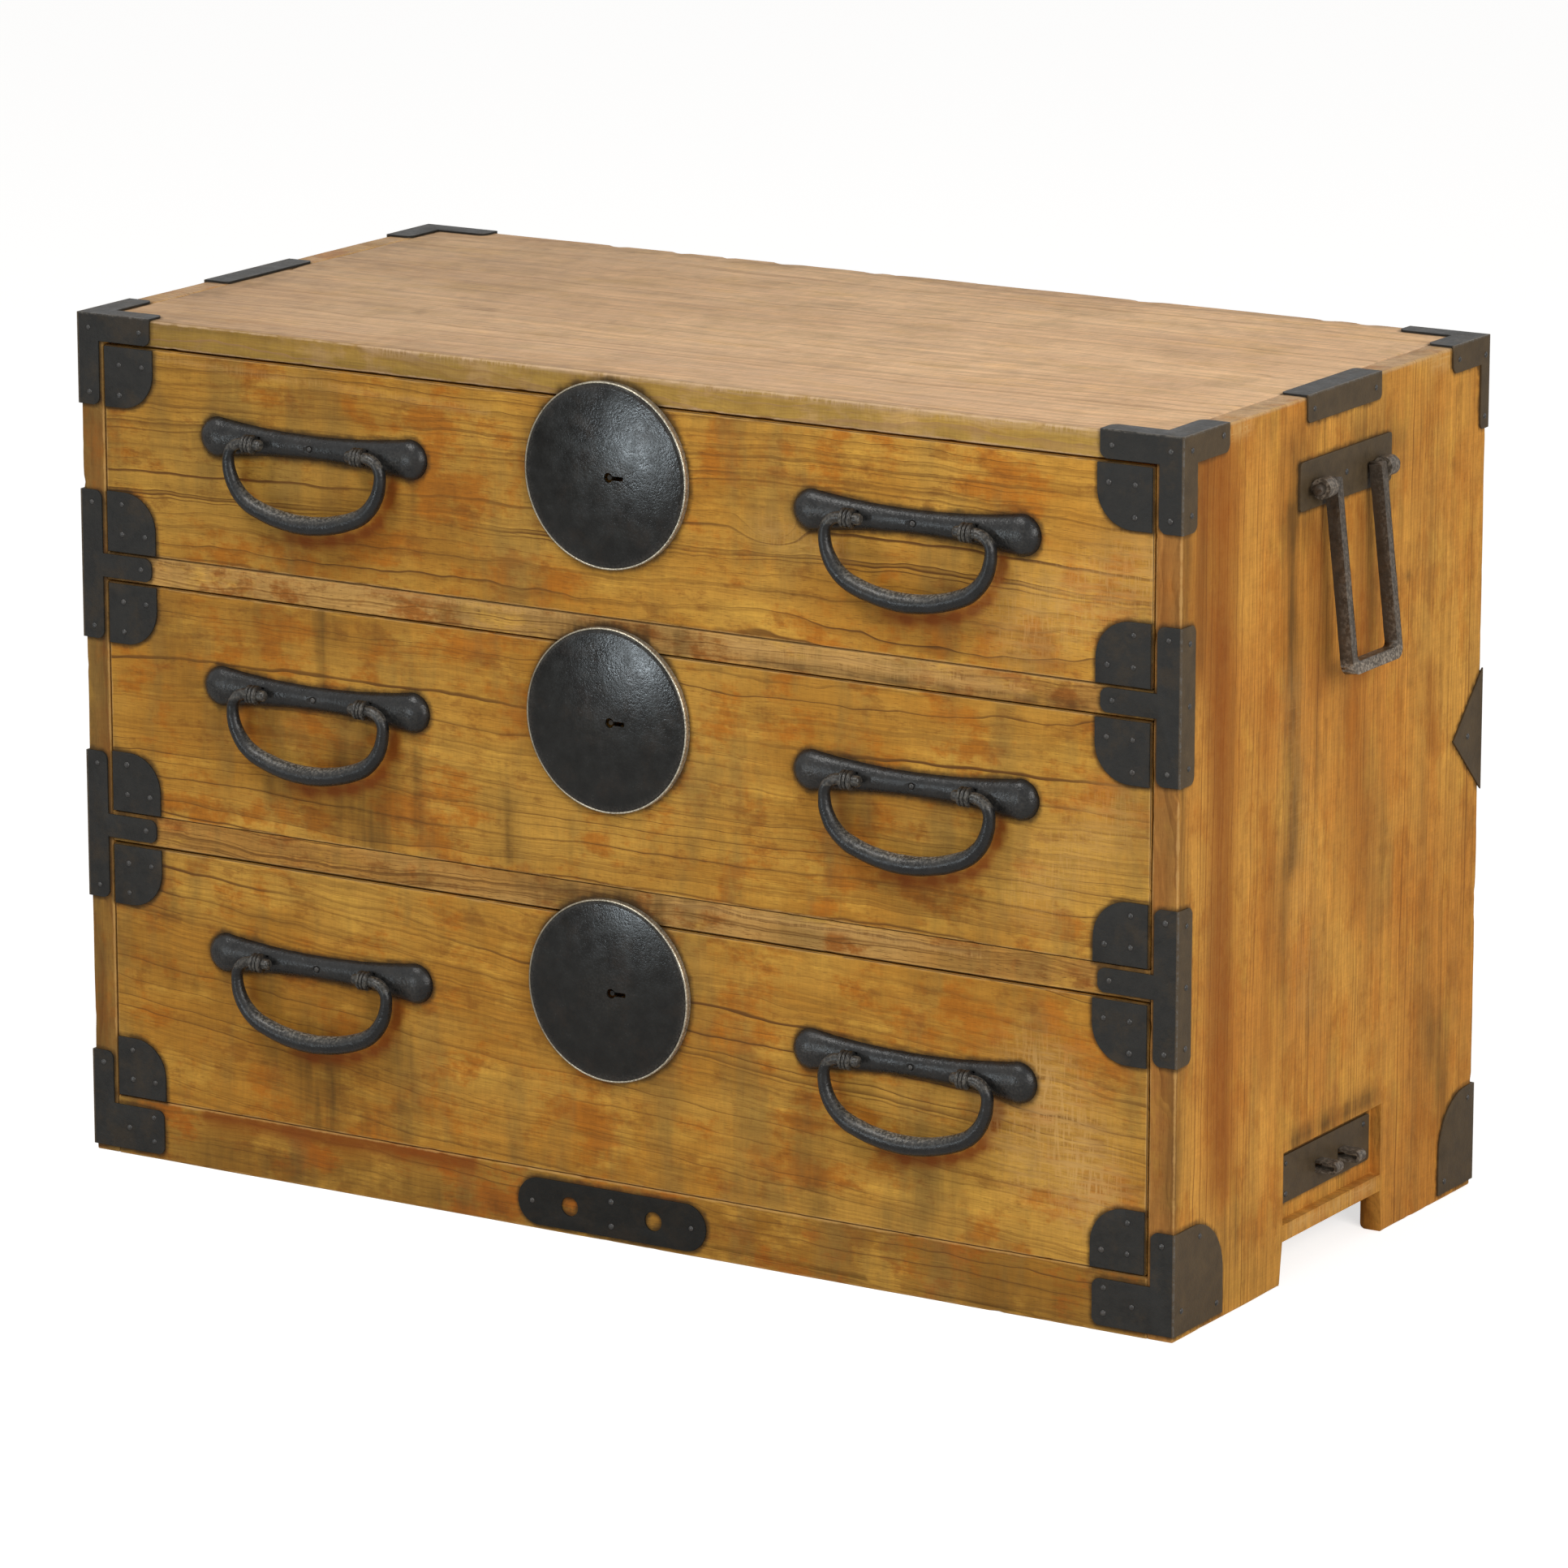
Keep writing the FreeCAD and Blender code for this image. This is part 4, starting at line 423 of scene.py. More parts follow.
def wood(name, axis, heart, lean, ring, tones, line_tone, sway=0.006, line=0.85, seed=0.0,
         worn_tone=(0.62, 0.37, 0.13), fleck=0.35, blotch=1.0, smoke=0.5, streaky=0.5,
         front=None, cap=None, painted_light_ramp=(1.0, 1.0), crack=0.0, knot=None):
    """Finish of one board: its axis of growth, heart line, ring spacing and colours."""
    f = Finish(name, gloss=0.07)
    run = (f.x, f.y, f.z)[axis]
    across = [v for k, v in enumerate((f.x, f.y, f.z)) if k != axis]
    near = across[0] - heart[0] - run * lean[0]
    up = across[1] - heart[1] - run * lean[1]
    drift = f.cloud(along_grain(axis, 9, 3.2), 1, shift=seed) - 0.5
    ripple = f.cloud(along_grain(axis, 46, 2.4), 2, shift=seed + 3) - 0.5
    reach = (near * near + up * up) ** 0.5 + drift * (sway * 4) + ripple * (sway * 1.2)
    if knot is not None:
        aside = (run - knot[0]) * 0.55
        above = across[1] - knot[1]
        swell = ((aside * aside + above * above) ** 0.5).between(knot[2], 0.0)
        reach = reach + swell * (knot[2] * 0.8)
    fade = f.cloud(along_grain(axis, 24, 5), 2, shift=seed + 7).between(0.30, 0.62)

    def lines(spacing, start, key):
        """Growth lines: how dark each one is, and nothing between them."""
        count = reach / spacing + f.wander(reach, 0.30 / spacing) * 1.3
        phase = count.math("FRACT")
        strong = f.chance(count.math("FLOOR") + key).between(0.08, 0.90)
        return phase.between(start, 0.95) * phase.between(1.0, 0.97) * strong, phase

    fine = lines(ring * 0.40, 0.30, seed + 50)[0]
    late, phase = lines(ring * 1.12, 0.74, seed)
    band = phase.between(0.35, 0.97) ** 2 * phase.between(1.0, 0.97)
    fibre = f.cloud(along_grain(axis, 1000, 40), 2, 0.65, seed)
    streak = f.cloud(along_grain(axis, 150, 22), 3, 0.6, seed + 2)
    scrape = f.cloud(along_grain(axis, 70, 0.12), 3, 0.66, seed + 4)
    pores = f.cloud(along_grain(axis, 1900, 14), 0, shift=seed).between(0.64, 0.8)
    scuffs = f.cloud(70, 5, 0.70, seed + 5)
    light, mid, deep = tones
    broad = f.cloud(along_grain(axis, 9, 1.8), 3, 0.55, seed + 11).between(0.38, 0.62)
    orange = f.cloud(along_grain(axis, 26, 1.5), 5, 0.70, seed + 17).between(0.49, 0.64)
    spots = f.cloud(along_grain(axis, 56, 2.0), 5, 0.70, seed + 29).between(0.55, 0.66)
    stain = f.cloud((24, 24, 7), 4, 0.6, seed + 23).between(0.47, 0.68)
    colour = f.mix(broad, mid, light)
    if front is not None:
        colour = f.mix(f.y.between(wood_front + 0.004, wood_front), colour, front)
    if cap is not None:
        colour = f.mix(f.z.between(wood_top - 0.003, wood_top), colour, cap)
    glow = f.cloud(along_grain(axis, 34, 2.2), 5, 0.68, seed + 37).between(0.52, 0.66)
    colour = f.mix(glow * (0.5 * blotch), colour, GLOW_TONE)
    colour = f.mix(orange * (0.85 * blotch), colour, deep)
    colour = f.mix(stain * smoke, colour, OLIVE_TONE)
    colour = f.mix(spots * (0.42 * blotch), colour, SPOT_TONE)
    # Painted light: the colour is scaled along x, darker at the board's left end and lighter at its
    # right.
    low, high = painted_light_ramp
    painted_light = f.x.between(-PAINTED_LIGHT_REACH, PAINTED_LIGHT_REACH) * (high - low) + low
    wash = streak * streaky + fibre * 0.42 + scrape * 0.28 + scuffs * 0.50
    colour = f.shade(colour, (wash + (0.42 - streaky * 0.5)) * painted_light)
    rings = (late * 0.82 + band * 0.36) * (fade * 0.70 + 0.30)
    soft = fine * (fade.flip() * 0.5 + 0.5)
    colour = f.mix(soft * (line * 0.55), colour, FINE_TONE)
    colour = f.mix(rings * line, colour, line_tone)
    colour = f.mix(pores * fleck, colour, line_tone)
    drip = f.cloud((62, 62, 6), 3, 0.6, seed + 31).between(0.30, 0.72)
    # Dark grime, which also carries the painted shade above each lock plate.
    colour = f.mix((f.marked("grime_and_shade") * (drip * 0.7 + 0.25)).least(0.80), colour, GRIME_AND_SHADE_TONE)
    # The reddish rub beside and below the bails, which is partly a painted contact shadow.
    colour = f.mix((f.marked("rub_and_shadow") * (scuffs * 0.7 + 0.65)).least(0.92), colour, RUB_AND_SHADOW_TONE)
    bare = f.cloud(along_grain(axis, 210, 7), 3, 0.7, seed + 9).between(0.40, 0.62)
    bare = bare.most(f.cloud(along_grain(axis, 60, 0.1), 2, 0.6, seed + 41).between(0.46, 0.62))
    colour = f.mix(f.marked("pale") * (bare * 0.6 + 0.15), colour, worn_tone)
    # Darker round each iron: grime, and painted contact shade where the iron lies on the wood.
    away_from_iron = f.marked("iron_near") + (scuffs - 0.5) * 0.006
    halo = away_from_iron.between(HALO_WIDE, 0.0)
    colour = f.mix(halo * 0.78, colour, HALO_TONE)
    from_edge = f.marked("edge_near") + (scuffs - 0.5) * 0.004
    rim = from_edge.between(RIM_WIDE, 0.0004) * halo.flip()
    colour = f.mix(rim * 0.5, colour, worn_tone)
    if crack:
        at_edge = f.marked("edge_near").between(CRACK_WIDE, 0.0003)
        colour = f.mix(at_edge * crack, colour, HALO_TONE)
    rough = streak * 0.18 + scuffs * 0.2 + rings * 0.1 + 0.38
    height = fibre * 0.25 + streak * 0.5 + rings * 0.4 - pores * 0.3 + scuffs * 0.35
    return f.finish(colour, rough, height, WOOD_RELIEF)


# %% [markdown]
# ## The chest's boards, one finish each
#
# The drawer fronts, the rails and the base are one kind of honey-coloured wood, sawn so that
# the lines arch and wander. The case sides are straight-grained and redder, and stand upright.
# The top is bare and paler, and its front edge has the colour of the front. Each board gets
# its own heart line and seed, because no two boards of a real chest match.

# %% Wood finishes
HONEY = ((0.52, 0.280, 0.050), (0.43, 0.200, 0.028), (0.42, 0.142, 0.014))
RAIL = ((0.50, 0.285, 0.085), (0.43, 0.215, 0.048), (0.33, 0.125, 0.024))
BASE = ((0.37, 0.190, 0.032), (0.31, 0.142, 0.020), (0.38, 0.114, 0.012))
UPRIGHT = ((0.62, 0.305, 0.058), (0.54, 0.228, 0.040), (0.42, 0.144, 0.019))
DARK_LINE = (0.140, 0.060, 0.016)
RED_LINE = (0.19, 0.070, 0.018)
# The top drawer front and the top get painted light: darker at the left, lighter at the right.
wood_of = {
    "top_drawer_front": wood("top_drawer_wood", 0, (wood_front + 0.090, 0.395), (0.02, 0.03),
                             0.0072, HONEY, DARK_LINE, painted_light_ramp=(0.84, 1.14), crack=0.85,
                             knot=(0.132, 0.526, 0.020), seed=1.3),
    "mid_drawer_front": wood("mid_drawer_wood", 0, (wood_front + 0.100, 0.485), (0.03, -0.02),
                             0.0068, HONEY, DARK_LINE, crack=0.85, seed=4.1),
    "low_drawer_front": wood("low_drawer_wood", 0, (wood_front + 0.095, 0.310), (0.02, -0.09),
                             0.0070, HONEY, DARK_LINE, crack=0.85, seed=8.7),
    "drawer_rails": wood("rail_wood", 0, (wood_front + 0.09, 0.35), (0, 0.01),
                         0.0050, RAIL, DARK_LINE, fleck=0.7, smoke=0.45, crack=0.7,
                         blotch=1.3, streaky=0.8, seed=12.2),
    "base_rail": wood("base_wood", 0, (wood_front + 0.06, 0.11), (0, -0.02),
                      0.0058, BASE, DARK_LINE, seed=15.9),
    "side_panel_right": wood("side_wood", 2, (0.62, -1.10), (0, 0.012), 0.0040, UPRIGHT,
                             RED_LINE, sway=0.004, line=0.7, smoke=0.30, blotch=0.6,
                             streaky=0.75, front=(0.44, 0.200, 0.048), cap=(0.58, 0.380, 0.210),
                             seed=20.4),
    "side_panel_left": wood("left_side_wood", 2, (-0.62, -1.25), (0, -0.01), 0.0044, UPRIGHT,
                            RED_LINE, sway=0.004, line=0.7, smoke=0.30, blotch=0.6,
                            streaky=0.75, front=(0.30, 0.170, 0.044), cap=(0.52, 0.340, 0.190),
                            seed=25.4),
    "top_panel": wood("top_wood", 0, (0.35, 0.30), (0.03, 0), 0.0075,
                      ((0.74, 0.485, 0.275), (0.66, 0.420, 0.235), (0.60, 0.385, 0.235)),
                      (0.34, 0.190, 0.105), sway=0.008, line=0.5, smoke=0.20, blotch=0.30,
                      streaky=0.70, painted_light_ramp=(0.80, 1.16), seed=30.8,
                      worn_tone=(0.74, 0.52, 0.34), fleck=0.2, front=(0.38, 0.232, 0.052)),
    "inner": wood("inner_wood", 0, (0.2, -0.2), (0.02, 0.01), 0.006,
                  ((0.60, 0.43, 0.25), (0.54, 0.37, 0.20), (0.48, 0.31, 0.16)),
                  (0.30, 0.17, 0.08), line=0.5, smoke=0.1, blotch=0.2, seed=40.1),
    "back": wood("back_wood", 0, (0.15, 0.80), (0.02, 0.02), 0.009,
                 ((0.42, 0.25, 0.11), (0.36, 0.20, 0.08), (0.31, 0.17, 0.065)),
                 (0.15, 0.075, 0.03), line=0.6, smoke=0.3, blotch=0.3, seed=44.6),
}
print("wood finishes:", len(wood_of))

# %% [markdown]
# ## Iron
#
# The sheet iron and the bails were blackened long ago with lacquer and smoke. A real one isn't
# one grey: it is mottled where the coat is thin, a little brown where rust comes through, and
# bare and pale along bends and rims where hands rub it. All the irons share one recipe: a
# cloudy coat, fine pits as bump and roughness, and a worn tone by an amount that the piece
# decides. On the lock rims that amount is a painted highlight, lighter towards the right.

# %% The iron finish
RECESS_DEEP = 0.05
RECESS_TOP = 0.19


def iron(name, coat, brown, bare, rough, metal, pits, worn, brown_amount=0.5, seed=0.0,
         deep=0.0004, gloss=0.5, side_brown=0.0):
    """Blackened iron: worn(f) gives how bare the metal is at each point, and on the lock rims a
    painted highlight.
    """
    f = Finish(name, metal=metal, gloss=gloss)
    mottle = f.cloud(85, 4, 0.62, seed)
    rust = f.cloud(38, 4, 0.7, seed + 5).between(0.48, 0.70)
    fine = f.cloud(pits, 3, 0.6, seed + 9)
    colour = f.shade(coat, mottle * 1.5 + fine * 0.5)
    if side_brown:
        side = f.x.size().between(wood_half - 0.0004, wood_half + 0.0006)
        sunk = f.x.size().between(wood_half - RECESS_DEEP, wood_half - RECESS_DEEP + 0.005)
        sunk = sunk * f.y.between(wood_front + 0.010, wood_front + 0.012)
        side = side.most(sunk * f.z.between(RECESS_TOP, RECESS_TOP - 0.01))
        colour = f.mix(side * side_brown, colour, f.shade(brown, mottle * 1.6 + 0.6))
    colour = f.mix(rust * brown_amount, colour, brown)
    bare_and_highlit = worn(f) * (fine.between(0.44, 0.62) * 0.85 + mottle * 0.55)
    colour = f.mix(bare_and_highlit.least(1), colour, bare)
    grain = (mottle - 0.5) * 0.34 + (fine - 0.5) * 0.22 + rough
    height = fine * 0.5 + mottle * 0.9
    return f.finish(colour, grain - bare_and_highlit * 0.08, height, deep)


def bend_wear(f):
    """Near 1 along the case's outer edges, where a sheet iron is folded round them."""
    side = (f.x.size() - iron_half).size()
    flat = (f.y - iron_front).size().least((f.y - iron_back).size())
    lid = (f.z - iron_top).size()
    second = side.most(flat).least(side.most(lid)).least(flat.most(lid))
    return (second + (f.cloud(240, 3, 0.6) - 0.5) * 0.0016).between(0.0017, 0.0002) * 0.8


def marked_wear_and_highlight(f):
    """Wear that the piece's own mesh carries; on the lock rims it is a painted highlight."""
    return f.marked("worn")


# %% Iron finishes
fitting_iron = iron("fitting_iron", (0.020, 0.019, 0.017), (0.072, 0.047, 0.022),
                    (0.115, 0.105, 0.092), 0.52, 0.0, 420, bend_wear, 0.28, 2.0, gloss=0.20,
                    side_brown=0.66)
# Painted shade: a darker copy of the fitting iron, for the centre iron low on the base, which lies
# in shade.
shaded_base_iron = iron("shaded_base_iron", (0.012, 0.0115, 0.010), (0.040, 0.027, 0.015),
                 (0.075, 0.068, 0.058), 0.55, 0.0, 420, bend_wear, 0.28, 3.0, gloss=0.14)
bail_iron = iron("bail_iron", (0.012, 0.0125, 0.013), (0.028, 0.021, 0.015),
                 (0.230, 0.212, 0.180), 0.30, 0.0, 520, marked_wear_and_highlight, 0.30, 7.0, 0.0006, 0.30)
carry_iron = iron("carry_iron", (0.038, 0.029, 0.021), (0.075, 0.044, 0.022),
                  (0.34, 0.285, 0.225), 0.46, 0.0, 420, marked_wear_and_highlight, 0.55, 11.0, 0.0008, 0.28)
lock_iron = iron("lock_iron", (0.012, 0.012, 0.011), (0.030, 0.021, 0.015),
                 (0.090, 0.082, 0.072), 0.20, 0.0, 650, marked_wear_and_highlight, 0.40, 17.0, 0.00020, 0.24)
nail_iron = iron("nail_iron", (0.024, 0.023, 0.022), (0.045, 0.033, 0.024),
                 (0.15, 0.14, 0.13), 0.36, 0.0, 500, marked_wear_and_highlight, 0.35, 23.0, 0.0003, 0.45)
rim_steel = iron("rim_steel", (0.24, 0.210, 0.155), (0.15, 0.105, 0.060),
                 (0.62, 0.57, 0.46), 0.34, 0.7, 700, marked_wear_and_highlight, 0.50, 29.0, 0.0002)
iron_finishes = (fitting_iron, shaded_base_iron, bail_iron, carry_iron, lock_iron, nail_iron, rim_steel)
print("iron finishes:", [finish.name for finish in iron_finishes])

# %% [markdown]
# ## From a CAD node to a piece that shows wear
#
# A CAD node is exact: dead flat faces and razor-sharp edges. A real board's edges are rounded
# by hands and dented here and there. So a visible board is a copy of its node, cut into small
# cells, finer towards its edges, and then its outer edges are rounded by an amount that
# wanders along them. Holes, notches and recesses stay where the CAD put them.

# %% Mesh helpers
def merged(node):
    """A copy of a CAD node's mesh, with its loose triangles joined up."""
    shape = bmesh.new()
    shape.from_mesh(nodes[node].data)
    bmesh.ops.remove_doubles(shape, verts=shape.verts, dist=1e-6)
    return shape


def settle(shape, name, body, finish, stands_for, smooth=35):
    """Turns a finished mesh into a piece that rides on its body."""
    if isinstance(shape, bpy.types.Mesh):
        data = shape
        data.name = name
    else:
        data = bpy.data.meshes.new(name)
        shape.to_mesh(data)
        shape.free()
    data.shade_smooth()
    data.set_sharp_from_angle(angle=math.radians(smooth))
    data.materials.clear()
    data.materials.append(finish)
    piece = bpy.data.objects.new(name, data)
    bpy.context.scene.collection.objects.link(piece)
    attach(piece, body)
    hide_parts(*stands_for)
    return piece


def points_of(data):
    """A mesh's vertices as an array."""
    flat = np.empty(len(data.vertices) * 3, np.float32)
    data.vertices.foreach_get("co", flat)
    return flat.reshape(-1, 3).astype(float)


def mark(data, name, values):
    """Gives each vertex a number that its finish can read."""
    attribute = data.attributes.new(name, "FLOAT", "POINT")
    attribute.data.foreach_set("value", np.asarray(values, np.float32))


def slice_up(shape, axis, places):
    """Cuts a mesh along planes, without opening it."""
    normal = [0, 0, 0]
    normal[axis] = 1
    for place in places:
        point = [0, 0, 0]
        point[axis] = place
        whole = shape.verts[:] + shape.edges[:] + shape.faces[:]
        bmesh.ops.bisect_plane(
            shape, geom=whole, dist=1e-6, plane_co=point, plane_no=normal
        )


NEAR_EDGE = (0.0005, 0.0012, 0.0022)


def cuts_between(low, high, step):
    """Places of the cuts across a board: an even grid, and close ones at both edges."""
    inside = [low + d for d in NEAR_EDGE] + [high - d for d in NEAR_EDGE]
    count = max(1, round((high - low) / step))
    even = [low + (high - low) * k / count for k in range(1, count)]
    clear = NEAR_EDGE[-1] * 1.2
    even = [p for p in even if low + clear < p < high - clear]
    return sorted(inside + even)


def wear_edges(shape, low, high, round_by, chip, seed):
    """Rounds a board's outer edges by an amount that wanders, with small chips."""
    for vertex in shape.verts:
        p = vertex.co
        if min(min(p[k] - low[k], high[k] - p[k]) for k in range(3)) > 1e-5:
            continue
        wander = noise.noise(p * 22 + Vector((seed, 0, 0)))
        dent = noise.noise(p * 75 + Vector((0, seed, 0)))
        r = round_by * (1 + 0.55 * wander) + chip * max(0.0, dent - 0.28)
        inner = [min(max(p[k], low[k] + r), high[k] - r) for k in range(3)]
        out = p - Vector(inner)
        if sum(abs(c) > 1e-7 for c in out) > 1:
            vertex.co = Vector(inner) + out.normalized() * r


# %% [markdown]
# ## Marks of age on the boards
#
# Stains, and some painted shade, are laid on as a maker of replicas would: with a few soft
# strokes, each with a place, a width and a strength. A stroke is a line between two points on
# the chest, and its mark fades with distance from that line. Three kinds of mark are kept
# apart, because each has its own colour: grime and shade (dark, running down, and painted shade
# above the lock plates), rub and shadow (reddish, beside the bails, where it is partly their
# painted contact shadow) and pale (bare wood).
#
# The distance to the nearest iron is measured with a search tree over all the irons, and the
# distance to the board's nearest edge comes from its box.

# %% Marks
CASE_IRONS = ("top_corner_irons", "rail_irons", "base_corner_irons", "rear_irons",
              "top_edge_irons", "base_centre_iron", "side_eye_plates")
IRON_NODES = list(CASE_IRONS)
for drawer in DRAWERS:
    IRON_NODES += [drawer + "_corner_irons", drawer + "_lock_ring", drawer + "_lock_plate",
                   drawer + "_handle_plates"]


def search_tree(names):
    """A tree that finds the nearest point on any of these nodes."""
    corners, faces = [], []
    for name in names:
        data = nodes[name].data
        start = len(corners)
        corners += [v.co.copy() for v in data.vertices]
        faces += [[start + k for k in face.vertices] for face in data.polygons]
    return bvhtree.BVHTree.FromPolygons(corners, faces)


irons = search_tree(IRON_NODES)
FAR = 0.06


def iron_near(points):
    found = (irons.find_nearest(Vector(p), FAR) for p in points)
    return [FAR if hit[3] is None else hit[3] for hit in found]


def edge_near(points, low, high):
    """Distance along the face to the board's nearest edge."""
    gaps = np.concatenate([points - np.array(low), np.array(high) - points], axis=1)
    gaps.sort(axis=1)
    return np.clip(gaps[:, 1], 0, FAR)


def stroke_mark(points, strokes):
    """Adds up soft strokes: (start, end, width, strength), with points in metres."""
    total = np.zeros(len(points))
    for start, end, width, strength in strokes:
        start = np.array(start, float)
        span = np.array(end, float) - start
        along = (points - start) @ span / max(span @ span, 1e-12)
        nearest = start + np.clip(along, 0, 1)[:, None] * span
        gap = np.linalg.norm(points - nearest, axis=1)
        total += strength * np.exp(-((gap / width) ** 2))
    return np.clip(total, 0, 1)


print("irons to keep grime near:", len(IRON_NODES), "nodes")

# %% Strokes on each board
SIDES = ("left", "right")
bail_of = {(drawer, side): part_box(f"{drawer}_bail_{side}") for drawer in DRAWERS for side in SIDES}


def strokes_on(place, rows):
    """Strokes on one face, from rows of a start, an end, a width and a strength."""
    return [(place(a, b), place(c, d), width, strong) for a, b, c, d, width, strong in rows]


def on_front(x, z):
    return (x, wood_front, z)


def on_top(x, back):
    return (x, wood_front + back, wood_top)


def on_end(sign):
    """Places on one end of the case, by how far back from its front edge and how high."""
    def place(back, z):
        return (sign * wood_half, wood_front + back, z)
    return place


# Paths in metres from a bail's middle and lowest point, where its rub and its painted contact shadow
# lie: strong at the right and below, faint at the left.
RUB_AND_SHADOW_RIGHT = ((0.0655, 0.0528), (0.0665, 0.0388), (0.0637, 0.0291), (0.0540, 0.0128),
             (0.0445, 0.0053), (0.0290, -0.0015), (0.0135, -0.0050), (-0.0080, -0.0072),
             (-0.0250, -0.0050))
RUB_AND_SHADOW_LEFT = ((-0.0590, 0.0460), (-0.0600, 0.0330), (-0.0520, 0.0210))


def bail_marks(drawer, side):
    """Rub and painted contact shadow beside and below a hanging bail, and the stain that runs from
    it.
    """
    low, high = bail_of[drawer, side]

    def by_bail(u, v):
        return on_front((low.x + high.x) / 2 + u, low.z + v)
    rub_and_shadow = []
    for line, width, strong in ((RUB_AND_SHADOW_RIGHT, 0.0046, 0.7125), (RUB_AND_SHADOW_LEFT, 0.004, 0.2625)):
        rub_and_shadow += strokes_on(by_bail, [(*a, *b, width, strong) for a, b in zip(line, line[1:])])
    return rub_and_shadow, strokes_on(by_bail, [(0.01, -0.006, 0.015, -0.045, 0.03, 0.28)])


marks = {"grime_and_shade": {}, "rub_and_shadow": {}, "pale": {}}
for drawer in DRAWERS:
    both = [bail_marks(drawer, side) for side in SIDES]
    marks["rub_and_shadow"][drawer + "_front"] = both[0][0] + both[1][0]
    marks["grime_and_shade"][drawer + "_front"] = both[0][1] + both[1][1]

FRONT_STROKES = {
    ("grime_and_shade", "top_drawer_front"): (
        (-0.13, 0.52, -0.12, 0.47, 0.02, 0.35), (0.40, 0.60, 0.40, 0.46, 0.012, 0.3),
        (-0.163, 0.531, -0.162, 0.503, 0.0045, 0.35)),
    ("grime_and_shade", "mid_drawer_front"): (
        (-0.30, 0.42, -0.20, 0.42, 0.03, 0.35), (-0.22, 0.32, -0.20, 0.27, 0.022, 0.7),
        (-0.10, 0.31, -0.09, 0.27, 0.014, 0.45), (-0.38, 0.41, -0.36, 0.36, 0.02, 0.4),
        (-0.243, 0.428, -0.241, 0.36, 0.0045, 0.5), (-0.163, 0.336, -0.163, 0.274, 0.0045, 0.55),
        (-0.18, 0.337, -0.181, 0.284, 0.0045, 0.4), (-0.29, 0.317, -0.289, 0.276, 0.0045, 0.35),
        (-0.084, 0.308, -0.083, 0.267, 0.0045, 0.5), (-0.034, 0.302, -0.033, 0.264, 0.0045, 0.35),
        (-0.334, 0.36, -0.333, 0.33, 0.0045, 0.4)),
    ("grime_and_shade", "low_drawer_front"): (
        (-0.26, 0.10, -0.24, 0.05, 0.035, 0.65), (-0.19, 0.12, -0.18, 0.06, 0.016, 0.6),
        (-0.02, 0.10, -0.01, 0.06, 0.016, 0.15), (0.16, 0.10, 0.17, 0.05, 0.018, 0.45),
        (-0.40, 0.19, -0.36, 0.195, 0.012, 0.4), (-0.43, 0.165, -0.36, 0.14, 0.012, 0.35),
        (-0.171, 0.13, -0.17, 0.088, 0.0045, 0.4)),
    # The first two rows on the rails are partly grime and partly painted contact shade above the
    # middle and low lock plates.
    ("grime_and_shade", "drawer_rails"): (
        (-0.05, 0.445, 0.05, 0.445, 0.02, 0.7), (-0.06, 0.252, 0.06, 0.252, 0.02, 0.6),
        (0.12, 0.434, 0.38, 0.432, 0.003, 0.8)),
    ("grime_and_shade", "base_rail"): (
        (-0.35, 0.010, -0.1, 0.012, 0.014, 0.5), (0.30, 0.012, 0.36, 0.012, 0.02, 0.4)),
    ("rub_and_shadow", "base_rail"): ((-0.35, 0.040, -0.12, 0.040, 0.008, 0.8),),
    ("pale", "top_drawer_front"): (
        (0.13, 0.525, 0.19, 0.518, 0.012, 0.35), (-0.10, 0.585, -0.40, 0.597, 0.003, 0.4),
        (0.33, 0.485, 0.42, 0.53, 0.030, 0.55)),
    ("pale", "mid_drawer_front"): ((0.34, 0.30, 0.40, 0.36, 0.026, 0.40),),
    ("pale", "low_drawer_front"): (
        (0.345, 0.17, 0.385, 0.10, 0.030, 0.9), (0.30, 0.16, 0.33, 0.10, 0.016, 0.4)),
    ("pale", "drawer_rails"): (
        (0.10, 0.444, 0.33, 0.439, 0.006, 0.6), (-0.40, 0.447, 0.0, 0.447, 0.002, 0.6),
        (0.05, 0.254, 0.30, 0.25, 0.0025, 0.6)),
}
for (kind, board), rows in FRONT_STROKES.items():
    marks[kind].setdefault(board, []).extend(strokes_on(on_front, rows))

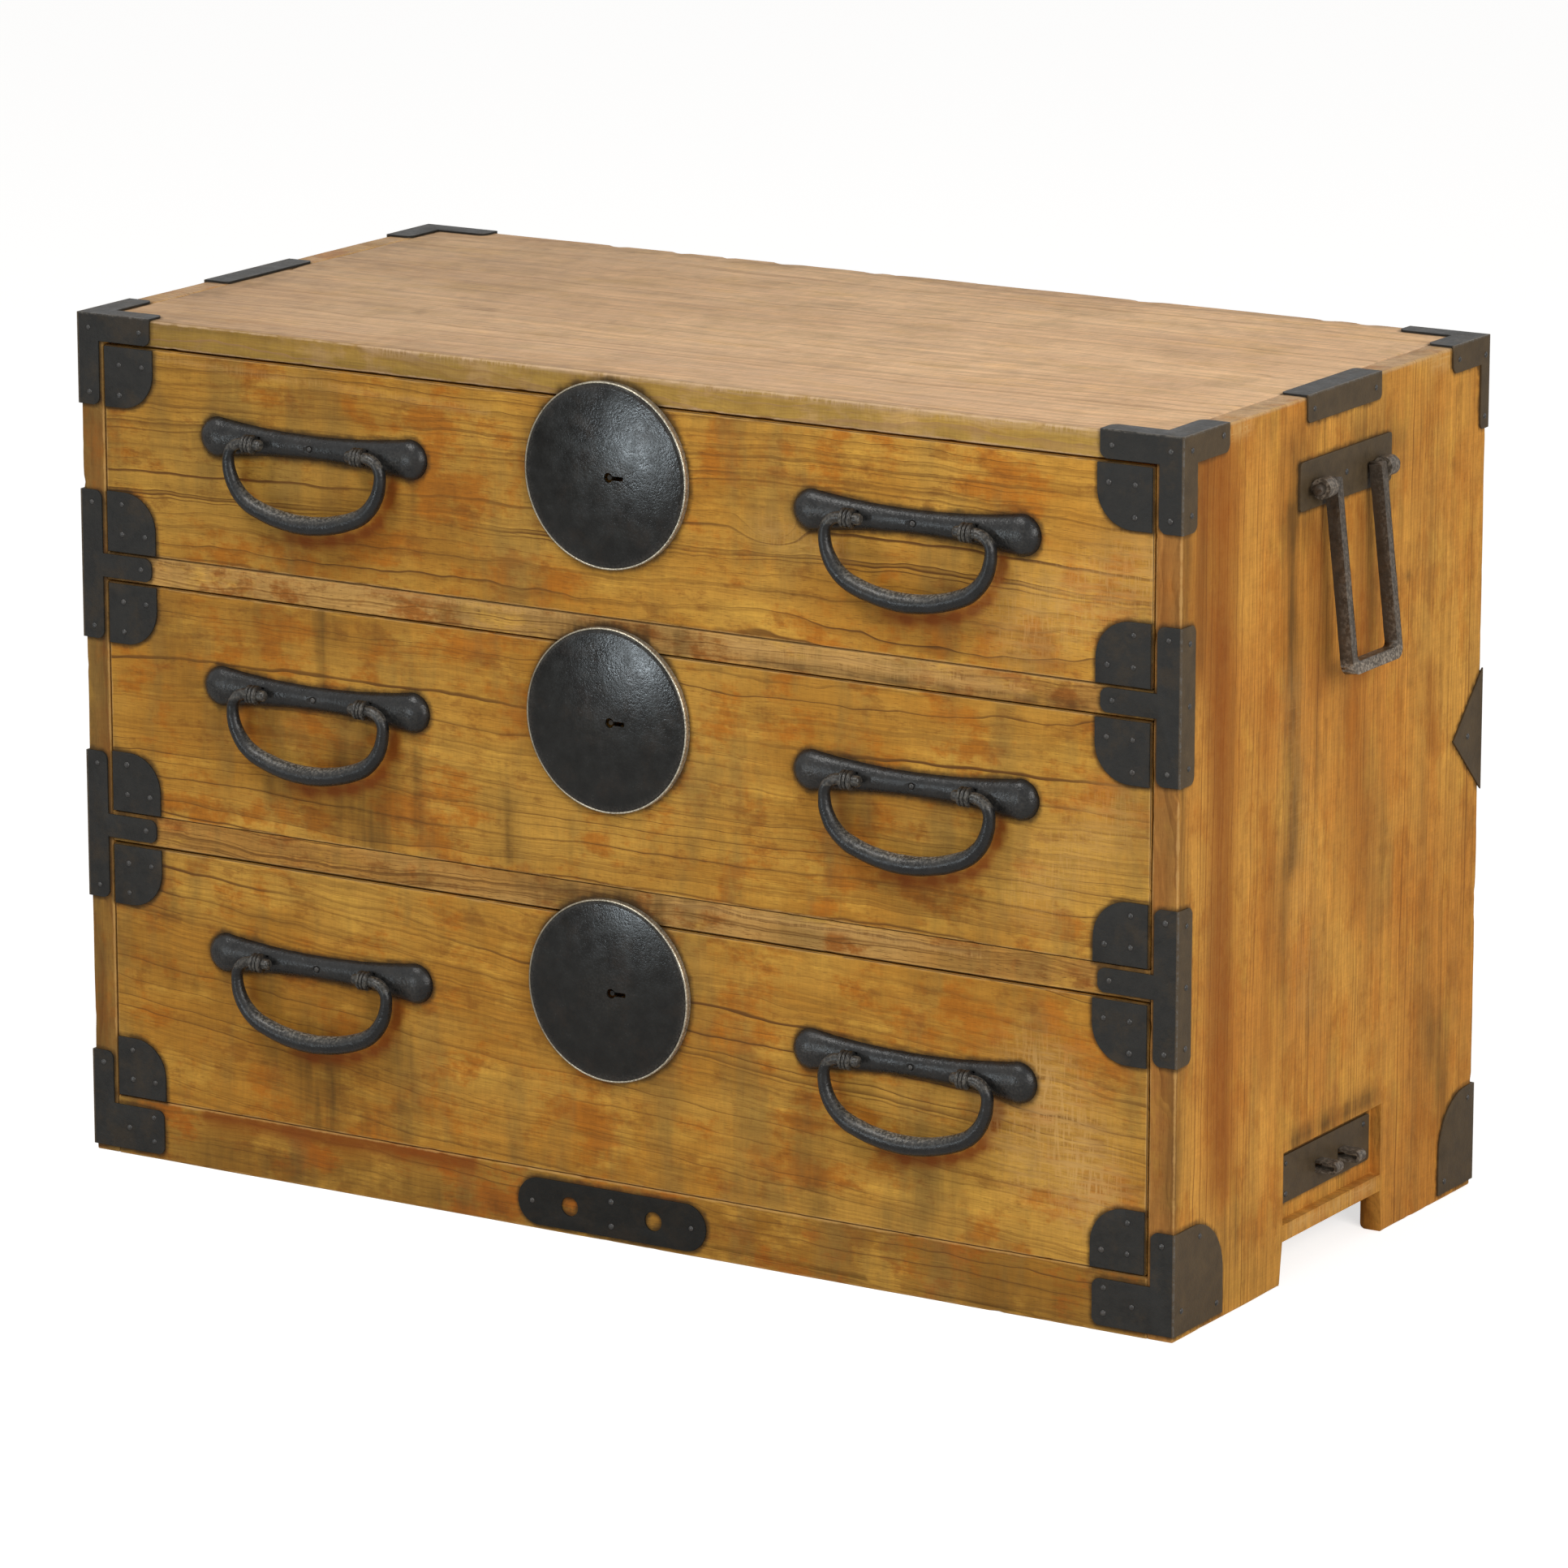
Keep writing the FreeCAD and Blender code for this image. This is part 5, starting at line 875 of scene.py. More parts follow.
SIDE_STROKES = {
    "grime_and_shade": (
        (0.004, 0.60, 0.002, 0.08, 0.018, 0.62), (0.030, 0.60, 0.024, 0.47, 0.014, 0.70),
        (0.150, 0.54, 0.163, 0.30, 0.011, 0.95), (0.165, 0.54, 0.160, 0.585, 0.022, 0.75),
        (0.090, 0.070, 0.120, 0.020, 0.030, 0.45), (0.250, 0.58, 0.300, 0.57, 0.020, 0.45),
        (0.150, 0.30, 0.155, 0.12, 0.008, 0.4), (0.170, 0.100, 0.290, 0.104, 0.009, 0.9),
        (0.385, 0.13, 0.400, 0.06, 0.020, 0.55), (0.065, 0.05, 0.068, 0.02, 0.024, 0.35),
        (0.342, 0.57, 0.345, 0.52, 0.012, 0.3), (0.330, 0.47, 0.330, 0.469, 0.0035, 1.0),
        (0.335, 0.395, 0.335, 0.394, 0.003, 0.9), (0.395, 0.54, 0.395, 0.539, 0.004, 0.8),
        (0.345, 0.255, 0.345, 0.254, 0.004, 0.9)),
    "rub_and_shadow": (
        (0.055, 0.60, 0.065, 0.10, 0.022, 0.74), (0.025, 0.60, 0.022, 0.46, 0.014, 0.45),
        (0.120, 0.42, 0.130, 0.16, 0.016, 0.3), (0.190, 0.53, 0.200, 0.42, 0.016, 0.45),
        (0.258, 0.53, 0.264, 0.42, 0.013, 0.5), (0.250, 0.41, 0.260, 0.26, 0.020, 0.35),
        (0.365, 0.40, 0.370, 0.34, 0.007, 0.5)),
    "pale": (
        (0.065, 0.616, 0.090, 0.616, 0.006, 0.9), (0.364, 0.614, 0.386, 0.614, 0.006, 0.9),
        (0.170, 0.038, 0.290, 0.038, 0.005, 0.9), (0.330, 0.620, 0.440, 0.620, 0.003, 0.6),
        (0.160, 0.42, 0.185, 0.20, 0.020, 0.18)),
}
POST = 0.437
for board, sign in (("side_panel_right", 1), ("side_panel_left", -1)):
    for kind, rows in SIDE_STROKES.items():
        marks[kind][board] = strokes_on(on_end(sign), rows)
    marks["rub_and_shadow"][board] += strokes_on(on_front, (
        (sign * POST, 0.54, sign * POST, 0.40, 0.007, 0.28),
        (sign * POST, 0.33, sign * POST, 0.06, 0.007, 0.20)))

marks["grime_and_shade"]["top_panel"] = strokes_on(on_top, (
    (-0.235, 0.17, -0.205, 0.165, 0.007, 0.55), (-0.245, 0.13, -0.240, 0.128, 0.006, 0.45),
    (0.06, 0.20, 0.13, 0.19, 0.022, 0.22), (-0.02, 0.30, 0.10, 0.31, 0.018, 0.2),
    (-0.42, 0.10, -0.42, 0.40, 0.020, 0.35), (-0.35, 0.43, 0.40, 0.44, 0.010, 0.35),
    (-0.40, 0.004, 0.40, 0.004, 0.006, 0.35)))
marks["pale"]["top_panel"] = strokes_on(on_top, ((-0.1, 0.06, 0.35, 0.05, 0.03, 0.25),))
marks["pale"]["top_panel"] += strokes_on(
    on_front, ((-0.2, wood_top - 0.001, 0.40, wood_top - 0.001, 0.002, 0.6),))


def dome_shade(drawer):
    """A dark crescent on the wood just above a lock plate: partly grime, partly painted contact
    shade.
    """
    low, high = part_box(drawer + "_lock_ring")
    middle = (low + high) / 2
    reach = (high.x - low.x) / 2 + 0.001
    turns = [math.radians(a) for a in range(35, 156, 15)]
    rim = [on_front(middle.x + reach * math.cos(a), middle.z + reach * math.sin(a)) for a in turns]
    return [(one, two, 0.0040, 0.60) for one, two in zip(rim, rim[1:])]


for drawer in DRAWERS:
    for board in (drawer + "_front", "drawer_rails", "top_panel"):
        marks["grime_and_shade"][board] += dome_shade(drawer)
print("boards with marks:", sorted({k for kind in marks.values() for k in kind}))

# %% [markdown]
# ## The boards
#
# Drawer fronts get cells of about 3 mm and the other outer boards of about 6 mm, so that grime,
# painted shade and wear have somewhere to live. Inner boards, seen only when a drawer is open, get
# larger ones. The top's edges are more worn than a drawer's, so each board says how much it is
# rounded and chipped.

# %% Make the boards
THIN = 0.03
UNCUT = 1


def make_board(node, body, finish, cell, round_by, chip, seed):
    """A worn board in a CAD board's place."""
    low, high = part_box(node)
    shape = merged(node)
    spans = sorted(range(3), key=lambda k: high[k] - low[k], reverse=True)
    for axis in spans:
        step = cell if high[axis] - low[axis] > THIN else UNCUT
        slice_up(shape, axis, cuts_between(low[axis], high[axis], step))
    wear_edges(shape, low, high, round_by, chip, seed)
    piece = settle(shape, node + "_wood", body, finish, [node])
    points = points_of(piece.data)
    mark(piece.data, "iron_near", iron_near(points))
    mark(piece.data, "edge_near", edge_near(points, low, high))
    for kind, boards in marks.items():
        mark(piece.data, kind, stroke_mark(points, boards.get(node, [])))
    print("board:", node, len(piece.data.polygons), "faces")


FRONT_CELL = 0.0034
CELL = 0.0056
INNER_CELL = 0.03
OUTER_BOARDS = (
    ("side_panel_right", "case", "side_wood", 0.0016, 0.006, 1.0),
    ("side_panel_left", "case", "side_wood", 0.0016, 0.006, 2.0),
    ("top_panel", "case", "top_wood", 0.0018, 0.010, 3.0),
    ("base_rail", "case", "front_wood", 0.0012, 0.006, 4.0),
    ("drawer_rails", "case", "front_wood", 0.0009, 0.005, 5.0),
    ("top_drawer_front", "top_drawer", "front_wood", 0.0009, 0.004, 6.0),
    ("mid_drawer_front", "mid_drawer", "front_wood", 0.0009, 0.004, 7.0),
    ("low_drawer_front", "low_drawer", "front_wood", 0.0009, 0.004, 8.0),
)
for node, body, slot, round_by, chip, seed in OUTER_BOARDS:
    cell = FRONT_CELL if node.endswith("_front") else CELL
    make_board(node, body, wood_of[node], cell, round_by, chip, seed)

inner_boards = [("shelf_boards", "case", "inner"), ("back_panel", "case", "back")]
for drawer in DRAWERS:
    inner_boards += [(f"{drawer}_{part}", drawer, "inner") for part in ("sides", "back", "bottom")]
for place, (node, body, kind) in enumerate(inner_boards):
    make_board(node, body, wood_of[kind], INNER_CELL, 0.0006, 0.002, 50.0 + place)

# %% [markdown]
# ## Sheet irons
#
# Each iron is thin sheet cut by hand and folded round an edge. In CAD its edges are square, so
# they catch no light. A bevel of about half a millimetre on the long edges gives the soft rim
# that a worn sheet has. The short edges round the nail bores stay as they are, because the nail
# heads cover them.

# %% Soften the irons
PIERCED = ("base_centre_iron",)
FLAT = math.radians(1)
SHARP = math.radians(30)
BORE_CELL = 0.0009


def join_flats(shape):
    """Joins the triangles of each flat face."""
    bmesh.ops.dissolve_limit(shape, angle_limit=FLAT, verts=shape.verts, edges=shape.edges)


def bevel_edges(shape, width, shortest):
    """Bevels the sharp edges that are longer than the shortest."""
    sharp = [edge for edge in shape.edges if edge.is_manifold and edge.calc_length() > shortest
             and abs(edge.calc_face_angle(0)) > SHARP]
    bmesh.ops.bevel(shape, geom=sharp, offset=width, segments=2, profile=0.6, affect="EDGES",
                    clamp_overlap=False)


def soften(node, body, finish, width):
    """A copy of a sheet iron with its long sharp edges bevelled."""
    shape = merged(node)
    if node not in PIERCED:
        join_flats(shape)
    bevel_edges(shape, width, BORE_CELL)
    piece = settle(shape, node + "_worn", body, finish, [node], smooth=25)
    mark(piece.data, "worn", np.zeros(len(piece.data.vertices)))


IRON_EDGE = 0.00045
LOCK_EDGE = 0.0003
for node in CASE_IRONS:
    # The base's centre iron takes the darker copy, which is painted shade.
    finish = shaded_base_iron if node == "base_centre_iron" else fitting_iron
    soften(node, "case", finish, IRON_EDGE)
for drawer in DRAWERS:
    soften(drawer + "_corner_irons", drawer, fitting_iron, IRON_EDGE)
    soften(drawer + "_lock_case", drawer, fitting_iron, LOCK_EDGE)
    soften(drawer + "_lock_bolt", drawer + "_bolt", fitting_iron, LOCK_EDGE)
print("irons softened:", len(CASE_IRONS) + 3 * len(DRAWERS))

# %% [markdown]
# ## Nails
#
# A hundred and thirty-two small hand-made nails hold the irons. They repeat, so a geometry-node
# tree makes them: one domed head on a shank, set on a cloud of points, each turned to face out
# of its iron with a little lean and a size of its own. The points are measured from the CAD's
# nails, one island of mesh each, so every new nail sits in its own bore.
#
# The tree ends in Realize Instances, because the nails have to be a plain mesh in the end. The
# seed is fixed and the nails are taken in order of their places, so they come out the same each
# time.

# %% Find the nails
def islands(node):
    """The separate bodies in a node's mesh, each as an array of points, sorted by place."""
    shape = merged(node)
    seen = set()
    found = []
    for first in shape.verts:
        if first in seen:
            continue
        seen.add(first)
        group = [first]
        for vertex in group:
            for link in vertex.link_edges:
                other = link.other_vert(vertex)
                if other not in seen:
                    seen.add(other)
                    group.append(other)
        found.append(np.array([v.co for v in group]))
    shape.free()
    return sorted(found, key=lambda points: tuple(points.min(0)))


def nail_place(points):
    """Where a nail's head sits on its iron, and which way it faces."""
    low, high = points.min(0), points.max(0)
    axis = int(np.argmax(high - low))
    middle = (low + high) / 2
    across = np.delete(points, axis, 1) - np.delete(middle, axis)
    wide = np.linalg.norm(across, axis=1)
    rim = points[wide > wide.max() * 0.97][:, axis]
    sign = 1.0 if rim.mean() > middle[axis] else -1.0
    seat = middle.copy()
    seat[axis] = rim.min() if sign > 0 else rim.max()
    facing = np.zeros(3)
    facing[axis] = sign
    return seat, facing, wide.max(), (high - low)[axis]


NAIL_SETS = [("case_nails", "case")] + [(drawer + "_nails", drawer) for drawer in DRAWERS]
nails_of = {node: [nail_place(p) for p in islands(node)] for node, body in NAIL_SETS}
first_nail = nails_of["case_nails"][0]
print({node: len(found) for node, found in nails_of.items()}, "head radius",
      round(first_nail[2] * 1000, 2), "mm, length", round(first_nail[3] * 1000, 2), "mm")


# %% A short way to write geometry-node trees
class Steps:
    """One geometry-node tree with named inputs."""

    def __init__(self, name, inputs):
        self.tree = bpy.data.node_groups.new(name, "GeometryNodeTree")
        face = self.tree.interface
        face.new_socket("Geometry", in_out="INPUT", socket_type="NodeSocketGeometry")
        face.new_socket("Geometry", in_out="OUTPUT", socket_type="NodeSocketGeometry")
        for title, value in inputs.items():
            kind = "NodeSocketInt" if isinstance(value, int) else "NodeSocketFloat"
            face.new_socket(title, in_out="INPUT", socket_type=kind).default_value = value
        self.given = self.tree.nodes.new("NodeGroupInput").outputs
        self.result = self.tree.nodes.new("NodeGroupOutput").inputs["Geometry"]
        self.last = None

    def add(self, kind, inputs=(), **settings):
        """Adds a node and returns its first output that is in use."""
        made = self.tree.nodes.new(kind)
        for name, value in settings.items():
            setattr(made, name, value)
        for name, value in dict(inputs).items():
            socket = made.inputs[name]
            for source in value if isinstance(value, list) else [value]:
                if isinstance(source, bpy.types.NodeSocket):
                    wire(self.tree, source, socket)
                else:
                    socket.default_value = source
        return next(out for out in made.outputs if out.enabled)

    def sum(self, operation, a, b):
        return self.add("ShaderNodeMath", {0: a, 1: b}, operation=operation)

    def turn(self, operation, a, b):
        return self.add("ShaderNodeVectorMath", {0: a, 1: b}, operation=operation)

    def run(self, data, values, finish):
        """Runs the tree on a mesh and returns the plain mesh that comes out."""
        paint = self.add("GeometryNodeSetMaterial", {"Geometry": self.last, "Material": finish})
        wire(self.tree, paint, self.result)
        start = bpy.data.objects.new("start", data)
        bpy.context.scene.collection.objects.link(start)
        steps = start.modifiers.new("steps", "NODES")
        steps.node_group = self.tree
        for item in self.tree.interface.items_tree:
            if item.in_out == "INPUT" and item.name in values:
                steps[item.identifier] = values[item.name]
        graph = bpy.context.evaluated_depsgraph_get()
        made = bpy.data.meshes.new_from_object(start.evaluated_get(graph))
        start.modifiers.remove(steps)
        bpy.data.objects.remove(start)
        return made


def point_cloud(points, facings):
    """Loose points, each carrying the direction it faces."""
    data = bpy.data.meshes.new("points")
    data.from_pydata([tuple(p) for p in points], [], [])
    facing = data.attributes.new("facing", "FLOAT_VECTOR", "POINT")
    facing.data.foreach_set("vector", np.array(facings, np.float32).ravel())
    return data


# %% The nail tree
LARGEST_NAIL = 1.04


def nail_steps():
    steps = Steps("hand_set_nails", {
        "Head Radius": 0.0022, "Head Rise": 0.0011, "Shank Radius": 0.001,
        "Shank Length": 0.009, "Size Spread": 0.14, "Lean": 0.10, "Seed": 3,
    })
    given = steps.given
    ball = steps.add("GeometryNodeMeshUVSphere",
                     {"Segments": 12, "Rings": 8, "Radius": given["Head Radius"]})
    place = steps.add("GeometryNodeInputPosition")
    parts = steps.tree.nodes.new("ShaderNodeSeparateXYZ")
    wire(steps.tree, place, parts.inputs[0])
    squash = steps.sum("DIVIDE", given["Head Rise"], given["Head Radius"])
    rise = steps.sum("MULTIPLY", steps.sum("MAXIMUM", parts.outputs[2], 0.0), squash)
    domed = steps.add("ShaderNodeCombineXYZ", {0: parts.outputs[0], 1: parts.outputs[1], 2: rise})
    head = steps.add("GeometryNodeSetPosition", {"Geometry": ball, "Position": domed})
    rod = steps.add("GeometryNodeMeshCylinder",
                    {"Vertices": 8, "Radius": given["Shank Radius"],
                     "Depth": given["Shank Length"]})
    half = steps.sum("MULTIPLY", given["Shank Length"], -0.5)
    below = steps.add("ShaderNodeCombineXYZ", {2: half})
    shank = steps.add("GeometryNodeTransform", {"Geometry": rod, "Translation": below})
    nail = steps.add("GeometryNodeJoinGeometry", {"Geometry": [head, shank]})
    facing = steps.add("GeometryNodeInputNamedAttribute", {"Name": "facing"},
                       data_type="FLOAT_VECTOR")
    lean = steps.add("ShaderNodeCombineXYZ", {k: given["Lean"] for k in range(3)})
    back = steps.turn("MULTIPLY", lean, (-1, -1, -1))
    tilt = steps.add("FunctionNodeRandomValue", {"Min": back, "Max": lean, "Seed": given["Seed"]},
                     data_type="FLOAT_VECTOR")
    turned = steps.add("FunctionNodeAlignRotationToVector",
                       {"Vector": steps.turn("ADD", facing, tilt)}, axis="Z")
    small = steps.sum("SUBTRACT", 1.0, given["Size Spread"])
    size = steps.add("FunctionNodeRandomValue", {2: small, 3: LARGEST_NAIL, "Seed": given["Seed"]},
                     data_type="FLOAT")
    set_out = steps.add("GeometryNodeInstanceOnPoints",
                        {"Points": given["Geometry"], "Instance": nail, "Rotation": turned,
                         "Scale": size})
    steps.last = steps.add("GeometryNodeRealizeInstances", {"Geometry": set_out})
    return steps


def drive_nails(node, body, seed):
    """New nails in the bores of one body's irons."""
    places = [p[0] for p in nails_of[node]]
    facings = [p[1] for p in nails_of[node]]
    data = nail_steps().run(point_cloud(places, facings), {"Seed": seed}, nail_iron)
    piece = settle(data, node + "_set", body, nail_iron, [node], smooth=50)
    mark(piece.data, "worn", np.full(len(data.vertices), 0.15))
    print("nails:", node, len(places), "set,", len(data.polygons), "faces")


for seed, (node, body) in enumerate(NAIL_SETS, 3):
    drive_nails(node, body, seed)

# %% [markdown]
# ## Lock plates
#
# The round lock plates are shallow domes, beaten out of sheet and blackened, with a keyhole
# right of the middle. Such a dome shows every flaw in its soft sheen, so it's made as a fine
# polar grid on a sphere of the right radius, with faint smooth dents, and the keyhole is cut
# out with a boolean. Round each dome lies a narrow steel rim with a rounded top, with a
# painted highlight: dull at its left and bright at its right.

# %% Lathe
TURNS = 120


def lathe(profile, centre, dent=0.0, seed=0.0):
    """Turns a profile of (radius, y) points about a line through centre along Y."""
    shape = bmesh.new()
    rings = []
    for radius, y in profile:
        if radius == 0:
            rings.append([shape.verts.new((centre.x, y, centre.z))])
            continue
        ring = []
        for k in range(TURNS):
            angle = 2 * math.pi * k / TURNS
            x = centre.x + radius * math.cos(angle)
            z = centre.z + radius * math.sin(angle)
            push = dent * (noise.noise(Vector((x * 38 + seed, 0, z * 38))) * 0.5 + 0.5)
            ring.append(shape.verts.new((x, y + push, z)))
        rings.append(ring)
    for one, two in zip(rings, rings[1:]):
        for k in range(TURNS):
            corners = [one[k % len(one)], one[(k + 1) % len(one)],
                       two[(k + 1) % len(two)], two[k % len(two)]]
            kept = [c for place, c in enumerate(corners) if c not in corners[:place]]
            shape.faces.new(kept)
    return shape


def closed_up(shape):
    """Closes a lathe's seam and poles, and turns its faces outwards."""
    bmesh.ops.remove_doubles(shape, verts=shape.verts, dist=1e-7)
    bmesh.ops.recalc_face_normals(shape, faces=shape.faces)
    return shape


def arc(centre, radius, start, end, count):
    """Points on an arc in a plane, by angle in degrees."""
    made = []
    for k in range(count + 1):
        angle = math.radians(start + (end - start) * k / count)
        made.append((centre[0] + radius * math.cos(angle), centre[1] + radius * math.sin(angle)))
    return made


# %% Domes and keyholes
DOME_RISE = 0.004
DOME_RADIUS = 0.066
DOME_WALL = 0.0015
DOME_RINGS = 26
DOME_DENT = 0.00022
DOME_LIP = 0.0004
KEY_ROUND = 0.0035
KEY_SLOT = 0.0032
KEY_AT = 0.0055
KEY_END = 0.0175
KEY_CORNER = 0.0006
KEY_BEFORE = 0.002
KEY_THROUGH = 0.012
ball = (DOME_RADIUS ** 2 + DOME_RISE ** 2) / (2 * DOME_RISE)


def dome_profile(front, reach):
    """Outer face from the pole to the rim, round the rim, and back along the inside."""
    def sunk(radius, ball_radius):
        return ball_radius - math.sqrt(ball_radius ** 2 - radius ** 2)
    outer = [reach * k / DOME_RINGS for k in range(DOME_RINGS)]
    points = [(r, front + sunk(r, ball)) for r in outer]
    edge = front + sunk(reach, ball)
    points += [(reach - DOME_LIP, front + sunk(reach - DOME_LIP, ball)),
               (reach - DOME_LIP * 0.3, edge + DOME_LIP * 0.3), (reach, edge + DOME_LIP),
               (reach, edge + DOME_WALL)]
    inner = ball - DOME_WALL
    points += [(r, front + DOME_WALL + sunk(r, inner)) for r in reversed(outer)]
    return points


def keyhole(centre, front):
    """The cutter for a keyhole: a round hole with a slot to its right."""
    outline = []
    low = math.degrees(math.asin(KEY_SLOT / 2 / KEY_ROUND))
    outline += arc((KEY_AT, 0), KEY_ROUND, low, 360 - low, 28)
    outline += [(KEY_END - KEY_CORNER, -KEY_SLOT / 2), (KEY_END, -KEY_SLOT / 2 + KEY_CORNER),
                (KEY_END, KEY_SLOT / 2 - KEY_CORNER), (KEY_END - KEY_CORNER, KEY_SLOT / 2)]
    shape = bmesh.new()
    before = front - KEY_BEFORE
    near = [shape.verts.new((centre.x + u, before, centre.z + v)) for u, v in outline]
    face = shape.faces.new(near)
    pulled = bmesh.ops.extrude_face_region(shape, geom=[face])
    moved = [g for g in pulled["geom"] if isinstance(g, bmesh.types.BMVert)]
    bmesh.ops.translate(shape, verts=moved, vec=(0, KEY_THROUGH, 0))
    bmesh.ops.recalc_face_normals(shape, faces=shape.faces)
    data = bpy.data.meshes.new("keyhole")
    shape.to_mesh(data)
    shape.free()
    return data


def cut_out(shape, cutter):
    """Cuts one mesh out of another with an exact boolean."""
    data = bpy.data.meshes.new("whole")
    shape.to_mesh(data)
    shape.free()
    whole = bpy.data.objects.new("whole", data)
    tool = bpy.data.objects.new("tool", cutter)
    for made in (whole, tool):
        bpy.context.scene.collection.objects.link(made)
    step = whole.modifiers.new("cut", "BOOLEAN")
    step.operation = "DIFFERENCE"
    step.solver = "EXACT"
    step.object = tool
    graph = bpy.context.evaluated_depsgraph_get()
    result = bpy.data.meshes.new_from_object(whole.evaluated_get(graph))
    bpy.data.objects.remove(whole)
    bpy.data.objects.remove(tool)
    return result


def make_dome(drawer, seed):
    low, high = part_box(drawer + "_lock_plate")
    centre = (low + high) / 2
    reach = (high.x - low.x) / 2
    shape = closed_up(lathe(dome_profile(low.y, reach), centre, DOME_DENT, seed))
    data = cut_out(shape, keyhole(centre, low.y))
    piece = settle(data, drawer + "_lock_dome", drawer, lock_iron,
                   [drawer + "_lock_plate"], smooth=50)
    points = points_of(piece.data)
    out = np.hypot(points[:, 0] - centre.x, points[:, 2] - centre.z)
    from_key = np.abs(out - KEY_AT)
    mark(piece.data, "worn", np.clip(1 - (reach - out) / 0.004, 0, 1) * 0.4
         + np.exp(-((from_key / 0.012) ** 2)) * 0.10)
    print("dome:", drawer, len(piece.data.polygons), "faces")


def make_rim(drawer):
    """The narrow steel rim, a lathe with a rounded front."""
    low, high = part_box(drawer + "_lock_ring")
    centre = (low + high) / 2
    outer = (high.x - low.x) / 2
    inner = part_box(drawer + "_lock_plate")[1].x - centre.x + 0.00005
    wide = outer - inner
    middle = (outer + inner) / 2
    top = arc((middle, low.y + wide / 2), wide / 2, 0, -180, 8)
    profile = [(outer, high.y)] + top + [(inner, high.y), (outer, high.y)]
    shape = closed_up(lathe(profile, centre))
    piece = settle(shape, drawer + "_lock_rim", drawer, rim_steel,
                   [drawer + "_lock_ring"], smooth=40)
    # Painted highlight: the rim is made paler from its left to its right, as if lit from the right.
    to_right = (points_of(piece.data)[:, 0] - centre.x) / outer
    mark(piece.data, "worn", np.clip(0.5 + 0.5 * to_right, 0.05, 1))


for seed, drawer in enumerate(DRAWERS):
    make_dome(drawer, seed * 3.7)
    make_rim(drawer)

# %% [markdown]
# ## Drawer bails
#
# A bail is a forged bar, thin at the pins and swelling to nearly twice that at the bottom,
# where the hand pulls. It follows a path, so a geometry-node tree sweeps it: the path is a
# line of points that carry the bar's radius, the tree gives each ring of the bar its radius,
# and small hammer marks push the surface inwards. The pins are left smooth and round, because
# they turn in the eyes.

# %% The bail's path
MM = 0.001
PIN_END = 36.0
PIN = 4.0
ARM = 4.7
LOWER = 6.6
BOTTOM = 7.3
BAIL_HALF = 65.0
BAIL_DROP = 53.5
ELBOW = 12.0
CORNER = 35.0
SWEEP = 114.0
TIP_STEPS = (0, 0.35, 0.9, 1.8, 3.2)
TIP_ROUND = (0.55, 0.74, 0.88, 0.97, 1)
corner_at = BAIL_HALF - CORNER
sweep_at = SWEEP - BAIL_DROP
corner_down = sweep_at - math.sqrt((SWEEP - CORNER) ** 2 - corner_at ** 2)
corner_turn = math.degrees(math.atan2(sweep_at - corner_down, corner_at))


def bail_outline():
    """Half of the bail in millimetres: points from the pin's tip to the bottom, and radii."""
    half = [(PIN_END + d, 0.0, PIN) for d in (*TIP_STEPS, 6, 10, 14)]
    bends = (((BAIL_HALF - ELBOW, -ELBOW), ELBOW, 90, 0, PIN, ARM, 12),
             ((corner_at, corner_down), CORNER, 0, -corner_turn, ARM, LOWER, 18),
             ((0, sweep_at), SWEEP, -corner_turn, -90, LOWER, BOTTOM, 16))
    for centre, radius, start, end, thin, thick, count in bends:
        points = arc(centre, radius, start, end, count)
        widths = np.linspace(thin, thick, count + 1)
        half += [(u, v, t) for (u, v), t in zip(points, widths)]
    return [p for k, p in enumerate(half) if k == 0 or math.dist(p[:2], half[k - 1][:2]) > 0.01]


def bail_points(low, high, y, top):
    """Points of a whole bail, with its radius and how much it is forged at each."""
    half = bail_outline()
    travel = [0.0]
    for one, two in zip(half, half[1:]):
        travel.append(travel[-1] + math.dist(one[:2], two[:2]))
    tip = np.interp(travel, TIP_STEPS, TIP_ROUND)
    forged = np.interp(travel, (0, 18, 34), (0, 0, 1))
    whole = [(u, v, t * e, f) for (u, v, t), e, f in zip(half, tip, forged)]
    whole += [(-u, v, t, f) for u, v, t, f in reversed(whole[:-1])]
    middle = (low.x + high.x) / 2
    places = [(middle + u * MM, y, top + v * MM) for u, v, t, f in whole]
    return places, [t * MM for u, v, t, f in whole], [f for u, v, t, f in whole]


